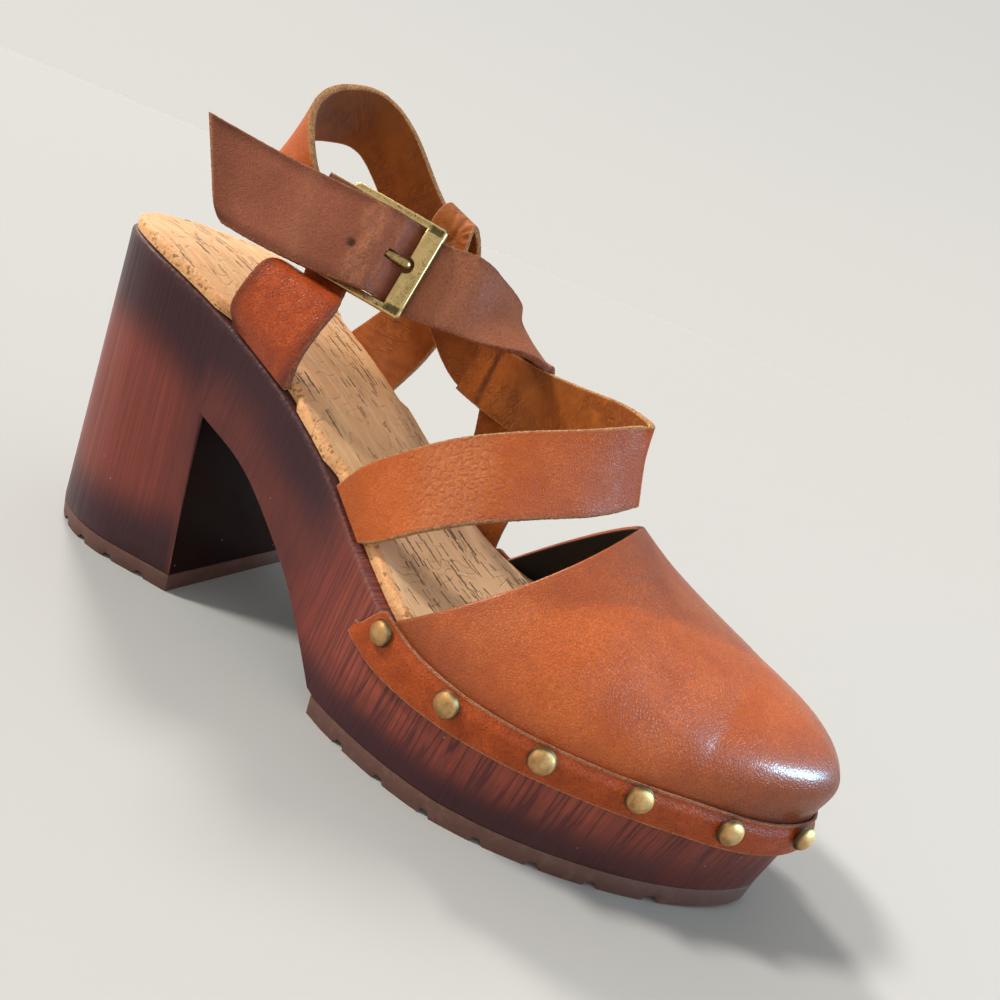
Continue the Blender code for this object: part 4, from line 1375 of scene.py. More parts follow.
@dataclass
class Band:
    """Flat leather band of even thickness, with raw cut edges."""

    name: str
    nodes: tuple[str, ...]
    slot: str
    materials: Sequence[Material]
    thick: float = 2.0
    grain: Skin = Skin.FRONT
    edge_round: float = 0.45
    across_steps: int = 40
    edge_steps: int = 6
    rubbed: float = 0.3
    creases: tuple[Crease, ...] = ()
    lining_creases: tuple[Crease, ...] = ()
    bends: tuple[Crease, ...] = ()
    cap: Layer = Layer.CUT
    burnish_and_shade: Optional[Callable[[float, float], float]] = None
    pebble: Optional[Callable[[float, float], float]] = None
    seam_and_shade: Optional[Callable[[float, float], float]] = None
    pale_patch: Optional[Callable[[float, float], float]] = None
    skive: float = 0.0
    skive_run: float = 2.6
    sharp: float = 60.0

    def lift(self, rows: tuple[Crease, ...], s: float, c: float) -> float:
        """Sum of some creases at a place."""
        return sum(row.lift(s, c) for row in rows)

    def loop(self, section: Section) -> tuple[list[Vector], list[float], list[float], list[float]]:
        """Closed outline of the band at one section.

        Args:
            section: the section.

        Returns:
            The points, and the burnish, wear and pebble of each.
        """
        half, thick = section.width / 2 - self.edge_round, self.thick / 2
        points, burnish_and_shade, wear_and_sheen, pebble = [], [], [], []

        def put(c: float, level: float, extra: float, rub_and_sheen: float, shade: Optional[Callable]) -> None:
            """Add one point of the outline."""
            bend = self.lift(self.bends, section.reach, c)
            thin = self.skive * smooth((c - half + self.skive_run) / self.skive_run)
            level = min(level, thick - thin)
            points.append(section.centre + section.across * c + section.skin * (level + extra + bend))
            burnish_and_shade.append(shade(section.reach, c) if shade else 0.0)
            pebble.append(self.pebble(section.reach, c) if self.pebble else 0.0)
            wear_and_sheen.append(rub_and_sheen)

        for front in (1, -1):
            shows = front == self.grain.value
            rows = self.creases if shows else self.lining_creases
            for k in range(self.across_steps + 1):
                c = front * half * (1 - 2 * k / self.across_steps)
                lift = self.lift(rows, section.reach, c)
                rub_and_sheen = self.rubbed if k in (0, self.across_steps) else 0.45 * smooth(lift / 0.16)
                # pale patches: real rubbing on some straps, painted sheen and highlights on others
                if shows and self.pale_patch:
                    rub_and_sheen = max(rub_and_sheen, self.pale_patch(section.reach, c))
                put(c, front * thick, front * lift, rub_and_sheen, self.burnish_and_shade if shows else self.seam_and_shade)
            for k in range(1, self.edge_steps):
                turn = math.pi * (0.5 - k / self.edge_steps)
                ragged = 1 + 0.35 * noise.noise(Vector((section.reach * 1.7, front * 9.0, k * 0.8)))
                out = half + self.edge_round * ragged * math.cos(turn) ** 0.6
                level = thick * math.copysign(abs(math.sin(turn)) ** 0.7, math.sin(turn))
                put(-front * out, front * level, 0.0, 0.0, self.burnish_and_shade)
        return points, burnish_and_shade, wear_and_sheen, pebble

    def bands(self) -> list[int]:
        """Material of each strip round the outline."""
        shows = [Layer.GRAIN.value] * self.across_steps
        hidden = [Layer.LINING.value] * self.across_steps
        edge = [Layer.CUT.value] * self.edge_steps
        first, second = (shows, hidden) if self.grain is Skin.FRONT else (hidden, shows)
        return first + edge + second + edge

    def sections(self) -> list[Section]:
        """Sections along the band."""
        raise NotImplementedError

    def mesh(self) -> Mesh:
        """Mesh of the band."""
        loops = [self.loop(section) for section in self.sections()]
        names = ("burnish_and_shade", "wear_and_sheen", "pebble")
        marks = {name: [row[i] for row in loops] for i, name in enumerate(names, 1)}
        return lofted([row[0] for row in loops], bands=self.bands(), marks=marks, cap=self.cap.value)

    def build(self, bm: Optional[Mesh] = None) -> Piece:
        """The finished band, from its own mesh or from one that was worked on."""
        bm = self.mesh() if bm is None else bm
        return add_piece(self.name, bm, self.materials, self.nodes, self.sharp)


@dataclass
class Ribbon(Band):
    """Strap along a smooth curve through rows of centre, lean and width."""

    rows: Table = ()
    foot: bool = True
    slant: float = 0.0
    slant_run: float = 16.0
    corner: float = 0.0
    step: float = 0.55

    def curve(self) -> list[tuple[Vector, Vector, float]]:
        """Centre, lean and width along the strap."""
        points = [Vector(row[:3]) for row in self.rows]
        lean = [Vector(row[3:6]).normalized() for row in self.rows]
        width = [row[6] for row in self.rows]

        def blend(values: list, i: int, t: float) -> Union[Vector, float]:
            """Smooth curve through values."""
            p0, p1 = values[max(i - 1, 0)], values[i]
            p2, p3 = values[i + 1], values[min(i + 2, len(values) - 1)]
            return 0.5 * (2 * p1 + (p2 - p0) * t + (2 * p0 - 5 * p1 + 4 * p2 - p3) * t ** 2
                          + (3 * p1 - p0 - 3 * p2 + p3) * t ** 3)

        found = []
        for i in range(len(self.rows) - 1):
            count = max(1, round((points[i + 1] - points[i]).length / self.step))
            for k in range(count):
                t = k / count
                found.append((blend(points, i, t), blend(lean, i, t), blend(width, i, t)))
        return found + [(points[-1], lean[-1], width[-1])]

    def sections(self) -> list[Section]:
        """Sections square to the strap, except at a foot or a slanted end."""
        curve = self.curve()
        reach = girths([row[0] for row in curve])
        last = len(curve) - 1
        found = []
        for i, (centre, lean, width) in enumerate(curve):
            run = (curve[min(i + 2, last)][0] - curve[max(i - 2, 0)][0]).normalized()
            across = lean.normalized()
            square = smooth(reach[i] / self.slant_run) if self.foot else 1.0
            across = (across - run * across.dot(run) * square).normalized()
            skin = run.cross(across).normalized()
            shear = run * self.slant * max(1 - (reach[last] - reach[i]) / self.slant_run, 0.0)
            across += shear * 2 / width
            cut = 0.0
            if self.corner:
                t = min(max(1 - (reach[last] - reach[i]) / self.corner, 0.0), 1.0)
                cut = self.corner * (1 - math.sqrt(1 - t * t))
            found.append(Section(centre + across * cut / 2, across, skin, width - cut, reach[i]))
        return found


@dataclass
class Rand(Band):
    """Leather strip nailed round the platform's edge, over the foot of the vamp."""

    sole: Optional[Sole] = None
    tip: float = 3.0
    tip_run: float = 8.0
    start_outer: float = 125.2
    start_inner: float = 121.0
    step: float = 0.8
    samples: int = 900
    # columns: x, lower edge and upper edge from the sole's top edge
    edges: Table = (
        (120, -11.0, 2.9), (132, -9.8, 2.9), (145, -7.4, 2.9), (165, -5.8, 2.9), (190, -5.2, 2.9),
        (205, -5.5, 2.9), (212, -6.2, 2.3), (220, -7.0, 1.3), (232, -7.4, 0.9),
    )

    @property
    def last(self) -> Last:
        """The last that the sole is made on."""
        return self.sole.last

    def start(self, side: Side) -> float:
        """Where the rand begins on the sole edge."""
        return side.pick(self.start_outer, self.start_inner)

    def line(self, step: float) -> list[tuple[Side, float, float]]:
        """Places round the sole edge, outer side first, with their run length.

        Args:
            step: least distance between two places.

        Returns:
            Side, station and run length of each place.
        """
        places = []
        for side in Side:
            begin = self.last.station_of(self.start(side))
            run = [(side, begin + (1 - begin) * i / self.samples) for i in range(self.samples + 1)]
            places += side.pick(run, run[-2::-1])
        kept = [(*places[0], 0.0)]
        total, previous = 0.0, self.last.edge(places[0][1], places[0][0])
        for side, a in places[1:]:
            point = self.last.edge(a, side)
            total += math.dist(point, previous)
            previous = point
            if total - kept[-1][2] >= step:
                kept.append((side, a, total))
        return kept

    def outward(self, a: float, side: Side) -> Vector:
        """Direction out of the sole's wall."""
        near, far = self.last.edge(a, side, 1.0), self.last.edge(a, side, -1.0)
        return Vector((far[0] - near[0], far[1] - near[1], 0.0)).normalized()

    def sections(self) -> list[Section]:
        """Upright sections round the toe."""
        found = []
        for side, a, reach in self.line(self.step):
            x = self.last.station_x(a)
            tip = smooth((x - self.start(side)) / self.tip_run)
            low, full = along(self.edges, x), along(self.edges, x, 2)
            high = low + self.tip + (full - low - self.tip) * tip
            foot, head = (
                self.sole.on_wall(a, side, -GAP - self.thick / 2, self.last.top_z(x) + z) for z in (low, high)
            )
            across = (head - foot).normalized()
            skin = self.outward(a, side)
            skin = (skin - across * skin.dot(across)).normalized()
            found.append(Section((foot + head) / 2, across, skin, (head - foot).length, reach))
        return found


@dataclass
class Nails:
    """Row of domed brass nails through the rand."""

    last: Last
    rand: Rand
    finishes: Finishes
    radius: float = 3.1
    height: float = 2.1
    pitch: float = 21.2
    first: float = 9.95
    count: int = 12
    sunk: float = 0.25
    dome_steps: int = 9
    sides: int = 32
    line_step: float = 0.3
    # columns: x, height of a nail's middle from the sole's top edge
    line: Table = ((120, -0.6), (175, -0.2), (195, 0.3), (214, -1.2), (232, -1.2))

    def head(self) -> Mesh:
        """Domed head along +Z, turned from its profile."""
        bm = bmesh.new()
        burnish_and_shade = bm.verts.layers.float.new("burnish_and_shade")
        wear_and_sheen = bm.verts.layers.float.new("wear_and_sheen")
        profile = [(0.0, 0.0), (self.radius - 0.15, 0.0), (self.radius, 0.18)]
        for i in range(self.dome_steps + 1):
            turn = math.pi / 2 * i / self.dome_steps
            profile.append((self.radius * 0.97 * math.cos(turn), 0.3 + (self.height - 0.3) * math.sin(turn)))
        verts = [bm.verts.new((x, 0.0, z)) for x, z in profile]
        edges = [bm.edges.new(pair) for pair in zip(verts, verts[1:])]
        bmesh.ops.spin(
            bm, geom=verts + edges, cent=(0, 0, 0), axis=(0, 0, 1), angle=2 * math.pi,
            steps=self.sides, use_merge=True,
        )
        bmesh.ops.remove_doubles(bm, verts=bm.verts, dist=0.001)
        bmesh.ops.recalc_face_normals(bm, faces=bm.faces)
        for vert in bm.verts:
            out = math.hypot(vert.co.x, vert.co.y) / self.radius
            vert[burnish_and_shade] = 0.85 * fade(out, 0.74, 0.26)
            vert[wear_and_sheen] = 0.35 * fade(out, 0.5, -0.5)
        return bm

    def build(self) -> None:
        """Set the nails evenly round the toe."""
        places = self.rand.line(self.line_step)
        for number in range(self.count):
            want = self.first + number * self.pitch
            side, a, _ = min(places, key=lambda row: abs(row[2] - want))
            x = self.last.station_x(a)
            on_face = self.last.edge(a, side, -2 * GAP - self.rand.thick + self.sunk)
            bm = self.head()
            place = Matrix.Translation((*on_face, self.last.top_z(x) + along(self.line, x)))
            bm.transform(place @ self.rand.outward(a, side).to_track_quat("Z", "Y").to_matrix().to_4x4())
            label = "%02d" % (number + 1)
            add_piece("brass_nail_" + label, bm, [self.finishes.bronze], ["nail_" + label], 50.0)


@dataclass
class Buckle:
    """Antique brass buckle with its prong, in axes along the strap, across it and outwards."""

    finishes: Finishes
    centre: Colour = (78.7, -8.5, 104.0)
    along: Colour = (0.945, 0.29, -0.12)
    across: Colour = (0.0, 0.33, 0.94)
    length: float = 26.5
    width: float = 25.8
    thick: float = 2.0
    front_bar: float = 5.0
    hinge_bar: float = 1.6
    side_bar: float = 2.0
    notch: float = 2.1
    plate: float = 0.5
    corner: float = 0.45
    arris: float = 0.3
    prong_radius: float = 1.1
    prong_ring: float = 2.35
    prong_flat: float = 1.15
    prong_sides: int = 18

    @property
    def hinge_at(self) -> float:
        """Place of the hinge bar along the buckle."""
        return -(self.length - self.hinge_bar) / 2

    def axes(self) -> tuple[Vector, Vector, Vector]:
        """Directions along the strap, across it and outwards."""
        run = Vector(self.along).normalized()
        out = run.cross(Vector(self.across)).normalized()
        return run, out.cross(run).normalized(), out

    def point(self, place: float, outwards: float, across: float = 0.0) -> Vector:
        """Point given in the buckle's axes."""
        run, over, out = self.axes()
        return Vector(self.centre) + run * place + over * across + out * outwards

    def matrix(self) -> Matrix:
        """Frame with its X along the strap, Y across and Z outwards."""
        return Matrix.Translation(self.point(0.0, 0.0)) @ Matrix(self.axes()).transposed().to_4x4()

    def build_frame(self) -> Piece:
        """Frame with a raised plate on its front bar, notched for the prong, and eased outer corners."""
        half_l, half_w = self.length / 2, self.width / 2
        inner, front, dip = half_w - self.side_bar, half_l - self.front_bar, self.notch
        lines_x = (
            -half_l, -half_l + self.hinge_bar, front, front + dip / 2, front + dip, half_l - 0.9, half_l,
        )
        half_y = (dip / 2, dip, inner - 0.9, inner, half_w - 0.7, half_w)
        lines_y = tuple(-y for y in half_y[::-1]) + (0.0,) + half_y
        bm = bmesh.new()
        bmesh.ops.create_grid(bm, x_segments=len(lines_x) - 1, y_segments=len(lines_y) - 1, size=0.5)
        for vert in bm.verts:
            i = round((vert.co.x + 0.5) * (len(lines_x) - 1))
            k = round((vert.co.y + 0.5) * (len(lines_y) - 1))
            vert.co = (lines_x[i], lines_y[k], -self.thick / 2)
            if abs(vert.co.x) > half_l - 0.01 and abs(vert.co.y) > half_w - 0.01:
                vert.co.x -= math.copysign(self.corner, vert.co.x)
                vert.co.y -= math.copysign(self.corner, vert.co.y)
        window = []
        for face in bm.faces:
            spot = face.calc_center_median()
            in_notch = front < spot.x < front + dip and abs(spot.y) < dip
            if in_notch or (lines_x[1] < spot.x < front and abs(spot.y) < inner):
                window.append(face)
        bmesh.ops.delete(bm, geom=window, context="FACES")
        for vert in bm.verts:
            ahead, aside = vert.co.x - front, abs(vert.co.y)
            if 0.01 < ahead < dip + 0.01 and aside < dip + 0.01:
                turn = math.atan2(ahead, aside)
                vert.co.x = front + dip * math.sin(turn)
                vert.co.y = math.copysign(dip * math.cos(turn), vert.co.y)
        raised = bmesh.ops.extrude_face_region(bm, geom=bm.faces[:])
        moved = [item for item in raised["geom"] if isinstance(item, bmesh.types.BMVert)]
        bmesh.ops.translate(bm, vec=(0, 0, self.thick), verts=moved)
        for vert in moved:
            if vert.co.x > front - 0.01 and abs(vert.co.y) < inner - 0.8:
                vert.co.z += self.plate
        bmesh.ops.recalc_face_normals(bm, faces=bm.faces)
        bevel_arrises(bm, self.arris, 25.0)
        layers = {name: bm.verts.layers.float.new(name) for name in ("burnish_and_shade", "wear_and_sheen", "pebble")}
        for vert in bm.verts:
            edge = max((e.calc_face_angle(0.0) for e in vert.link_edges if e.is_manifold), default=0.0)
            on_top = smooth((vert.co.z + 0.2) / 0.8)
            corner = smooth((vert.co.x - front + 0.6) / 1.2) * smooth((abs(vert.co.y) - inner + 0.8) / 0.5)
            rim = max(abs(vert.co.y) / half_w, vert.co.x / half_l)
            vert[layers["burnish_and_shade"]] = max(1 - on_top, 0.95 * corner * fade(rim, 0.965, -0.03))
            vert[layers["wear_and_sheen"]] = min(edge / 0.5, 1.0) * on_top * (1 - 0.7 * corner * (rim < 0.94))
            vert[layers["pebble"]] = 1.0
        bm.transform(self.matrix())
        return add_piece("buckle_ring", bm, [self.finishes.brass], ["buckle_frame"], 50.0)

    def build_prong(self) -> Piece:
        """Prong: a round wire that rings the hinge bar and rests in the front bar's notch."""
        path = []
        for degrees in range(-30, -271, -8):
            turn = math.radians(degrees)
            path.append((self.hinge_at + self.prong_ring * math.cos(turn), self.prong_ring * math.sin(turn)))
        rest = self.thick / 2 + GAP + self.prong_radius
        front = self.length / 2 - self.front_bar
        path += [(self.hinge_at + 6, self.prong_ring), (0.0, self.prong_ring), (front - 4, rest + 0.1)]
        path += [(front - 2.4 + 0.8 * i, rest - 0.14 * i) for i in range(4)]
        run, over, out = self.axes()
        tip = [(0.35, 0.98), (0.7, 0.90), (1.0, 0.74), (1.2, 0.52), (1.32, 0.25)]
        start = path[-1]
        thickness = [1.0] * len(path) + [share for _, share in tip]
        path += [(start[0] + ahead, start[1] - 0.02) for ahead, _ in tip]
        sections, marks = [], []
        turns = [2 * math.pi * k / self.prong_sides for k in range(self.prong_sides)]
        for i, (place, outwards) in enumerate(path):
            before, after = path[max(i - 1, 0)], path[min(i + 1, len(path) - 1)]
            way = (run * (after[0] - before[0]) + out * (after[1] - before[1])).normalized()
            up = over.cross(way)
            centre = self.point(place, outwards)
            size = self.prong_radius * thickness[i]
            wide = over * self.prong_flat
            sections.append([centre + size * (wide * math.cos(t) + up * math.sin(t)) for t in turns])
            marks.append([0.30 + 0.35 * math.cos(t) ** 2 for t in turns])
        bm = lofted(sections, marks={"burnish_and_shade": marks, "pebble": marks})
        return add_piece("buckle_tongue", bm, [self.finishes.brass], ["buckle_prong"], 60.0)

    def build(self) -> None:
        """Build the frame and the prong."""
        self.build_frame()
        self.build_prong()


@dataclass
class Straps:
    """Instep strap, heel strap, buckle strap with its tail, and the two side tabs."""

    last: Last
    finishes: Finishes
    buckle: Buckle
    width: float = 21.4
    slot_depth: float = 1.5
    slot_lift: float = 1.2
    tail_slant: float = 7.0
    hinge_turn: float = 2.55
    turned_y: float = 23.6
    # places of a foot's upper and lower corners along the sole
    instep_foot: tuple[float, float] = (103.5, 116.0)
    buckle_foot: tuple[float, float] = (111.0, 127.5)
    outer_tab_foot: tuple[float, float] = (59.0, 79.5)
    inner_tab_foot: tuple[float, float] = (57.0, 79.0)
    # place from the tail's end and place across
    spare_hole: tuple[float, float] = (38.9, -1.4)
    # start and end along the buckle, half width, reach from its plane
    prong_hole: tuple[float, ...] = (3.0, 5.4, 1.2, 6.0)
    # the same, with its start and end from the hinge bar
    hinge_slot: tuple[float, ...] = (-2.0, 8.0, 1.9, 4.5)
    # columns: centre x, y, z, direction from the lower edge to the upper edge, width
    instep_rows: Table = (
        (115.0, -32.6, 53.2, -0.64, 0.20, 0.73, 18.5),
        (121.9, -29.5, 59.3, -0.62, 0.33, 0.71, 20.0),
        (130.8, -22.5, 65.8, -0.50, 0.35, 0.79, 21.0),
        (140.9, -14.0, 71.2, -0.30, 0.36, 0.88, 21.0),
        (151.3, -4.0, 76.0, -0.26, 0.28, 0.92, 21.0),
        (157.4, 5.4, 79.6, -0.25, 0.12, 0.96, 20.5),
        (158.6, 10.2, 80.6, -0.27, 0.06, 0.96, 20.5),
        (154.0, 14.2, 81.4, -0.28, 0.02, 0.96, 20.5),
        (146.3, 17.5, 81.5, -0.25, 0.0, 0.97, 21.0),
        (134.0, 20.5, 80.8, -0.18, 0.0, 0.98, 20.5),
        (120.8, 22.3, 80.9, -0.05, 0.0, 1.0, 19.5),
        (108.3, 23.0, 82.4, 0.12, 0.0, 0.99, 18.5),
        (100.5, 22.9, 84.2, 0.22, 0.0, 0.97, 18.0),
    )
    heel_rows: Table = (
        (106.0, 25.4, 82.6, 0.10, 0.0, 0.99, 18.0),
        (98.0, 25.6, 85.6, 0.35, 0.0, 0.94, 18.0),
        (90.0, 25.6, 92.5, 0.60, 0.0, 0.80, 18.0),
        (82.0, 25.4, 101.0, 0.70, -0.03, 0.71, 18.0),
        (73.5, 24.8, 109.8, 0.72, -0.05, 0.69, 18.0),
        (64.3, 23.1, 118.5, 0.77, -0.07, 0.63, 18.0),
        (54.9, 17.8, 129.6, 0.68, -0.09, 0.73, 18.0),
        (48.6, 13.9, 133.6, 0.44, -0.21, 0.87, 18.0),
        (44.0, 7.9, 132.8, 0.39, -0.43, 0.82, 18.0),
        (41.9, -0.4, 129.0, 0.52, -0.45, 0.73, 18.5),
        (43.7, -7.6, 121.0, 0.55, -0.25, 0.79, 19.5),
    )
    buckle_rows: Table = (
        (100.5, 2.0, 101.8, 0.06, 0.33, 0.94, 21.0),
        (106.1, 7.1, 100.2, -0.14, 0.42, 0.90, 19.2),
        (114.1, 13.4, 98.0, -0.71, 0.33, 0.63, 15.8),
        (114.1, 19.2, 96.4, -0.88, 0.26, 0.39, 18.4),
        (112.5, 24.2, 94.3, -0.95, 0.17, 0.26, 19.0),
        (112.3, 28.9, 90.4, -0.99, 0.0, 0.10, 18.6),
        (113.6, 29.4, 80.0, -0.99, 0.0, 0.10, 20.5),
        (116.4, 28.4, 67.0, -0.98, 0.0, 0.20, 20.0),
        (118.0, 25.8, 56.0, -0.94, 0.02, 0.34, 19.5),
        (118.8, 23.0, 48.6, -0.90, 0.02, 0.44, 19.0),
    )
    outer_tab_rows: Table = (
        (70.1, -29.6, 77.0, -0.94, -0.13, 0.31, 22.3),
        (71.2, -28.1, 84.0, -0.94, -0.20, 0.27, 22.0),
        (71.7, -24.3, 89.8, -0.94, -0.24, 0.24, 21.2),
        (70.2, -18.2, 90.8, -0.97, -0.18, 0.16, 17.0),
        (68.6, -12.2, 88.2, -0.98, -0.12, 0.10, 12.5),
    )
    inner_tab_rows: Table = (
        (73.0, 28.8, 82.0, -0.86, 0.04, 0.50, 21.0),
        (78.0, 29.4, 95.0, -0.90, 0.0, 0.43, 19.0),
        (80.8, 28.6, 107.0, -0.94, 0.0, 0.34, 16.0),
        (80.3, 26.6, 116.6, -0.94, 0.0, 0.34, 12.4),
        (80.4, 23.8, 119.8, -0.94, 0.0, 0.34, 10.8),
        (80.3, 21.0, 116.6, -0.94, 0.0, 0.34, 12.4),
        (80.6, 20.0, 107.0, -0.95, 0.0, 0.31, 14.4),
        (80.6, 19.6, 99.0, -0.95, 0.0, 0.31, 15.0),
    )
    # columns: place along the buckle, outwards from its plane, across it, width
    tail_run: Table = (
        (-44.0, 6.2, -3.6, 22.2), (-34.0, 5.6, -3.5, 22.6), (-24.0, 5.5, -3.3, 22.9),
        (-14.0, 5.6, -2.7, 22.9), (-6.0, 5.2, -1.7, 22.4), (-0.5, 4.6, -0.9, 21.8), (3.2, 2.9, -0.3, 21.4),
        (6.2, -1.0, 0.0, 21.4), (8.8, -2.7, 0.0, 21.4), (15.0, -2.9, 0.0, 21.4),
    )
    outer_tab_end: Table = ((-9.5, -6.4, -9.0), (-9.5, -6.4, 0.0), (-9.5, -6.4, 8.0))
    tab_end_width: float = 12.0
    # columns: place along the buckle, outwards from its plane
    hinge_run: Table = ((-27.0, -2.8), (-20.0, -2.6), (-14.0, -2.55))
    hinge_back: tuple[float, float] = (-19.0, 2.55)

    def buckle_row(self, place: float, outwards: float, across: float = 0.0) -> tuple[float, ...]:
        """Strap section that follows the buckle."""
        return (*self.buckle.point(place, outwards, across), *self.buckle.axes()[1], self.width)

    def foot_row(self, side: Side, high_x: float, low_x: float) -> tuple[float, ...]:
        """Strap section where it stands on the sole.

        Args:
            side: side of the foot.
            high_x: place of its upper corner along the sole.
            low_x: place of its lower corner.

        Returns:
            The section's row.
        """
        def corner(x: float) -> Vector:
            """Corner of the foot at a place along the sole."""
            plan = self.last.edge(self.last.station_of(x), side, self.slot_depth)
            return Vector((*plan, self.last.top_z(x) + self.slot_lift))

        high, low = corner(high_x), corner(low_x)
        return (*((high + low) / 2), *(high - low).normalized(), (high - low).length)

    def hinge_rows(self) -> Table:
        """End of the heel strap, turned round the hinge bar and laid back on itself."""
        rows = [self.buckle_row(*place) for place in self.hinge_run]
        for degrees in (-90, -45, 0, 45, 90):
            turn = math.radians(degrees)
            rows.append(self.buckle_row(
                self.buckle.hinge_at + self.hinge_turn * math.cos(turn), self.hinge_turn * math.sin(turn),
            ))
        return tuple(rows + [self.buckle_row(*self.hinge_back)])

    def cut_slot(self, bm: Mesh, first: float, last: float, half: float, reach: float) -> None:
        """Open a slot for the prong through a strap.

        Args:
            bm: the strap's mesh.
            first: place along the buckle where the slot starts.
            last: place where it ends.
            half: half its width.
            reach: how far from the buckle's plane it goes.
        """
        back = self.buckle.matrix().inverted()
        gone = []
        for face in bm.faces:
            spot = back @ face.calc_center_median()
            if first < spot.x < last and abs(spot.y) < half and abs(spot.z) < reach:
                gone.append(face)
        bmesh.ops.delete(bm, geom=gone, context="FACES")
        loops = [edge for edge in bm.edges if edge.is_boundary]
        if loops:
            for face in bmesh.ops.bridge_loops(bm, edges=loops)["faces"]:
                face.material_index = Layer.CUT.value

    def instep(self) -> None:
        """Strap from the outer sole edge over the instep and back along the inner side."""
        f = self.finishes
        wrinkles = scattered(16, 0.7, (-0.05,), (46, 3.1), (-3, 0, 5, 2.3), (80, 0, 14, 1.7), (6, 0, 2, 1))
        turn = scattered(11, 0.6, (-0.16,), (66, 2.3), (0, 0, 5, 1.9), (84, 0, 18, 2.9), (7.5,))
        folds = scattered(9, 1.0, (-0.22,), (92, 5.5), (0, 0, 3, 2.1), (75, 0, 20, 1.3), (9.0,))
        seam = (Crease(131.5, 0.0, 84.0, 14.0, 0.45, -0.40),)
        Ribbon(
            "instep_band", ("instep_strap",), "tan_leather", [f.strap, f.lining, f.cut],
            rows=(self.foot_row(Side.OUTER, *self.instep_foot),) + self.instep_rows,
            creases=wrinkles, lining_creases=turn + folds + seam,
            burnish_and_shade=lambda s, c: 0.28 * fade(s, 9, -9) + 0.22 * fade(abs(c), 8.6, 1.4),
            pebble=lambda s, c: smooth(1.4 - abs(s - 27) / 12),
            # a dark seam line, and a painted shadow that the buckle strap casts on the returning lining
            seam_and_shade=lambda s, c: (
                0.8 * bell((s - 131.5 - 0.1 * c) / 0.9) + 0.45 * smooth(1.5 - abs(s - 118) / 7)
            ),
            # painted highlight on the strap's face along its pebbled stretch
            pale_patch=lambda s, c: 0.26 * smooth(1.5 - abs(s - 26 - 0.3 * c) / 8),
        ).build()

    def heel(self) -> None:
        """Strap round the heel, turned round the buckle's hinge bar."""
        f = self.finishes
        rows = self.heel_rows + self.hinge_rows()
        strap = Ribbon(
            "heel_band", ("heel_strap",), "tan_leather", [f.strap, f.lining, f.cut], rows=rows, foot=False,
            # painted shade over the loop's lining, deeper past its middle towards one edge
            seam_and_shade=lambda s, c: 0.32 + 0.36 * fade(s, 66, 14) * smooth((c + 12) / 12),
            lining_creases=scattered(9, 0.9, (-0.14,), (30, 9), (0, 0, 3, 2.1), (70, 0, 25, 1.7), (8.0,)),
        )
        bm = strap.mesh()
        first, last, *size = self.hinge_slot
        self.cut_slot(bm, self.buckle.hinge_at + first, self.buckle.hinge_at + last, *size)
        strap.build(bm)

    def buckled(self) -> None:
        """Brown strap from the inner sole edge through the buckle, with its free tail."""
        f = self.finishes
        tail = tuple((*self.buckle_row(*place)[:6], wide) for *place, wide in self.tail_run)
        rows = (tail + self.buckle_rows + (self.foot_row(Side.INNER, *self.buckle_foot),))[::-1]
        strap = Ribbon(
            "buckle_band", ("buckle_strap",), "brown_leather", [f.brown, f.lining, f.red_cut], rows=rows,
            grain=Skin.BACK, slant=self.tail_slant, corner=4.0, rubbed=0.1,
            pebble=lambda s, c: 0.35 * fade(s, 68, 6) * fade(s, 100, -6),
        )
        length = strap.sections()[-1].reach
        bunch = scattered(
            23, 0.5, (-0.34, 0.28), (length - 41.5, 0, 1.8, 2.7), (-9.5, 0.86), (68, 0, 34, 1.9), (2.6,),
        )
        fold = scattered(
            7, 0.8, (-0.38, 0.3), (length - 47.2, 0, 0.9, 2.2), (-8, 2.7), (82, 0, 12, 1.7), (4.2,),
        )
        from_end, aside = self.spare_hole
        hole = (Crease(length - from_end, aside, 0.0, 1.3, 0.8, -1.1),)
        strap.creases = bunch + fold + hole
        strap.bends = (Crease(length - 24.5, 0.0, 80.0, 24.0, 3.2, -0.55),)
        # pale patches on the tail: a painted sheen band, painted highlights on the wrinkle bunch and its
        # fold, real pale pebble along the strap, and the pale cut at the tip
        strap.pale_patch = lambda s, c: max(
            0.24 * bell((s - length + 25.5 - 0.2 * c) / 2.4), 0.55 * bell((s - length + 42.5) / 2.8),
            0.30 * bell((s - length + 47.5) / 1.6), 0.34 * fade(s, 104, -14),
            0.9 * smooth((s - length + 0.8) / 0.4),
        )
        # darker tail tip and edges from burnishing, and painted dark in the spare hole for its shaded inside
        strap.burnish_and_shade = lambda s, c: min(0.9, (
            0.35 * smooth((s - length + 12) / 12) + 0.50 * fade(abs(c), 7.6, 3.6)
            + 0.8 * smooth(1.6 - math.hypot(s - length + from_end, c - aside))
        ))
        bm = strap.mesh()
        self.cut_slot(bm, *self.prong_hole)
        strap.build(bm)

    @staticmethod
    def rosette(s: float, c: float) -> list[Crease]:
        """Wrinkles that gather in a dimple at a place of a strap."""
        found = [Crease(s, c, 0.0, 3.2, 1.5, -1.0)]
        for i in range(18):
            turn = 20.0 * i + 6 * math.sin(i * 2.3)
            far = 4.6 + 0.8 * math.sin(i * 1.7)
            way = math.radians(turn)
            found.append(Crease(s + far * math.cos(way), c + far * math.sin(way), turn, 3.8, 0.55, -0.46))
        return found

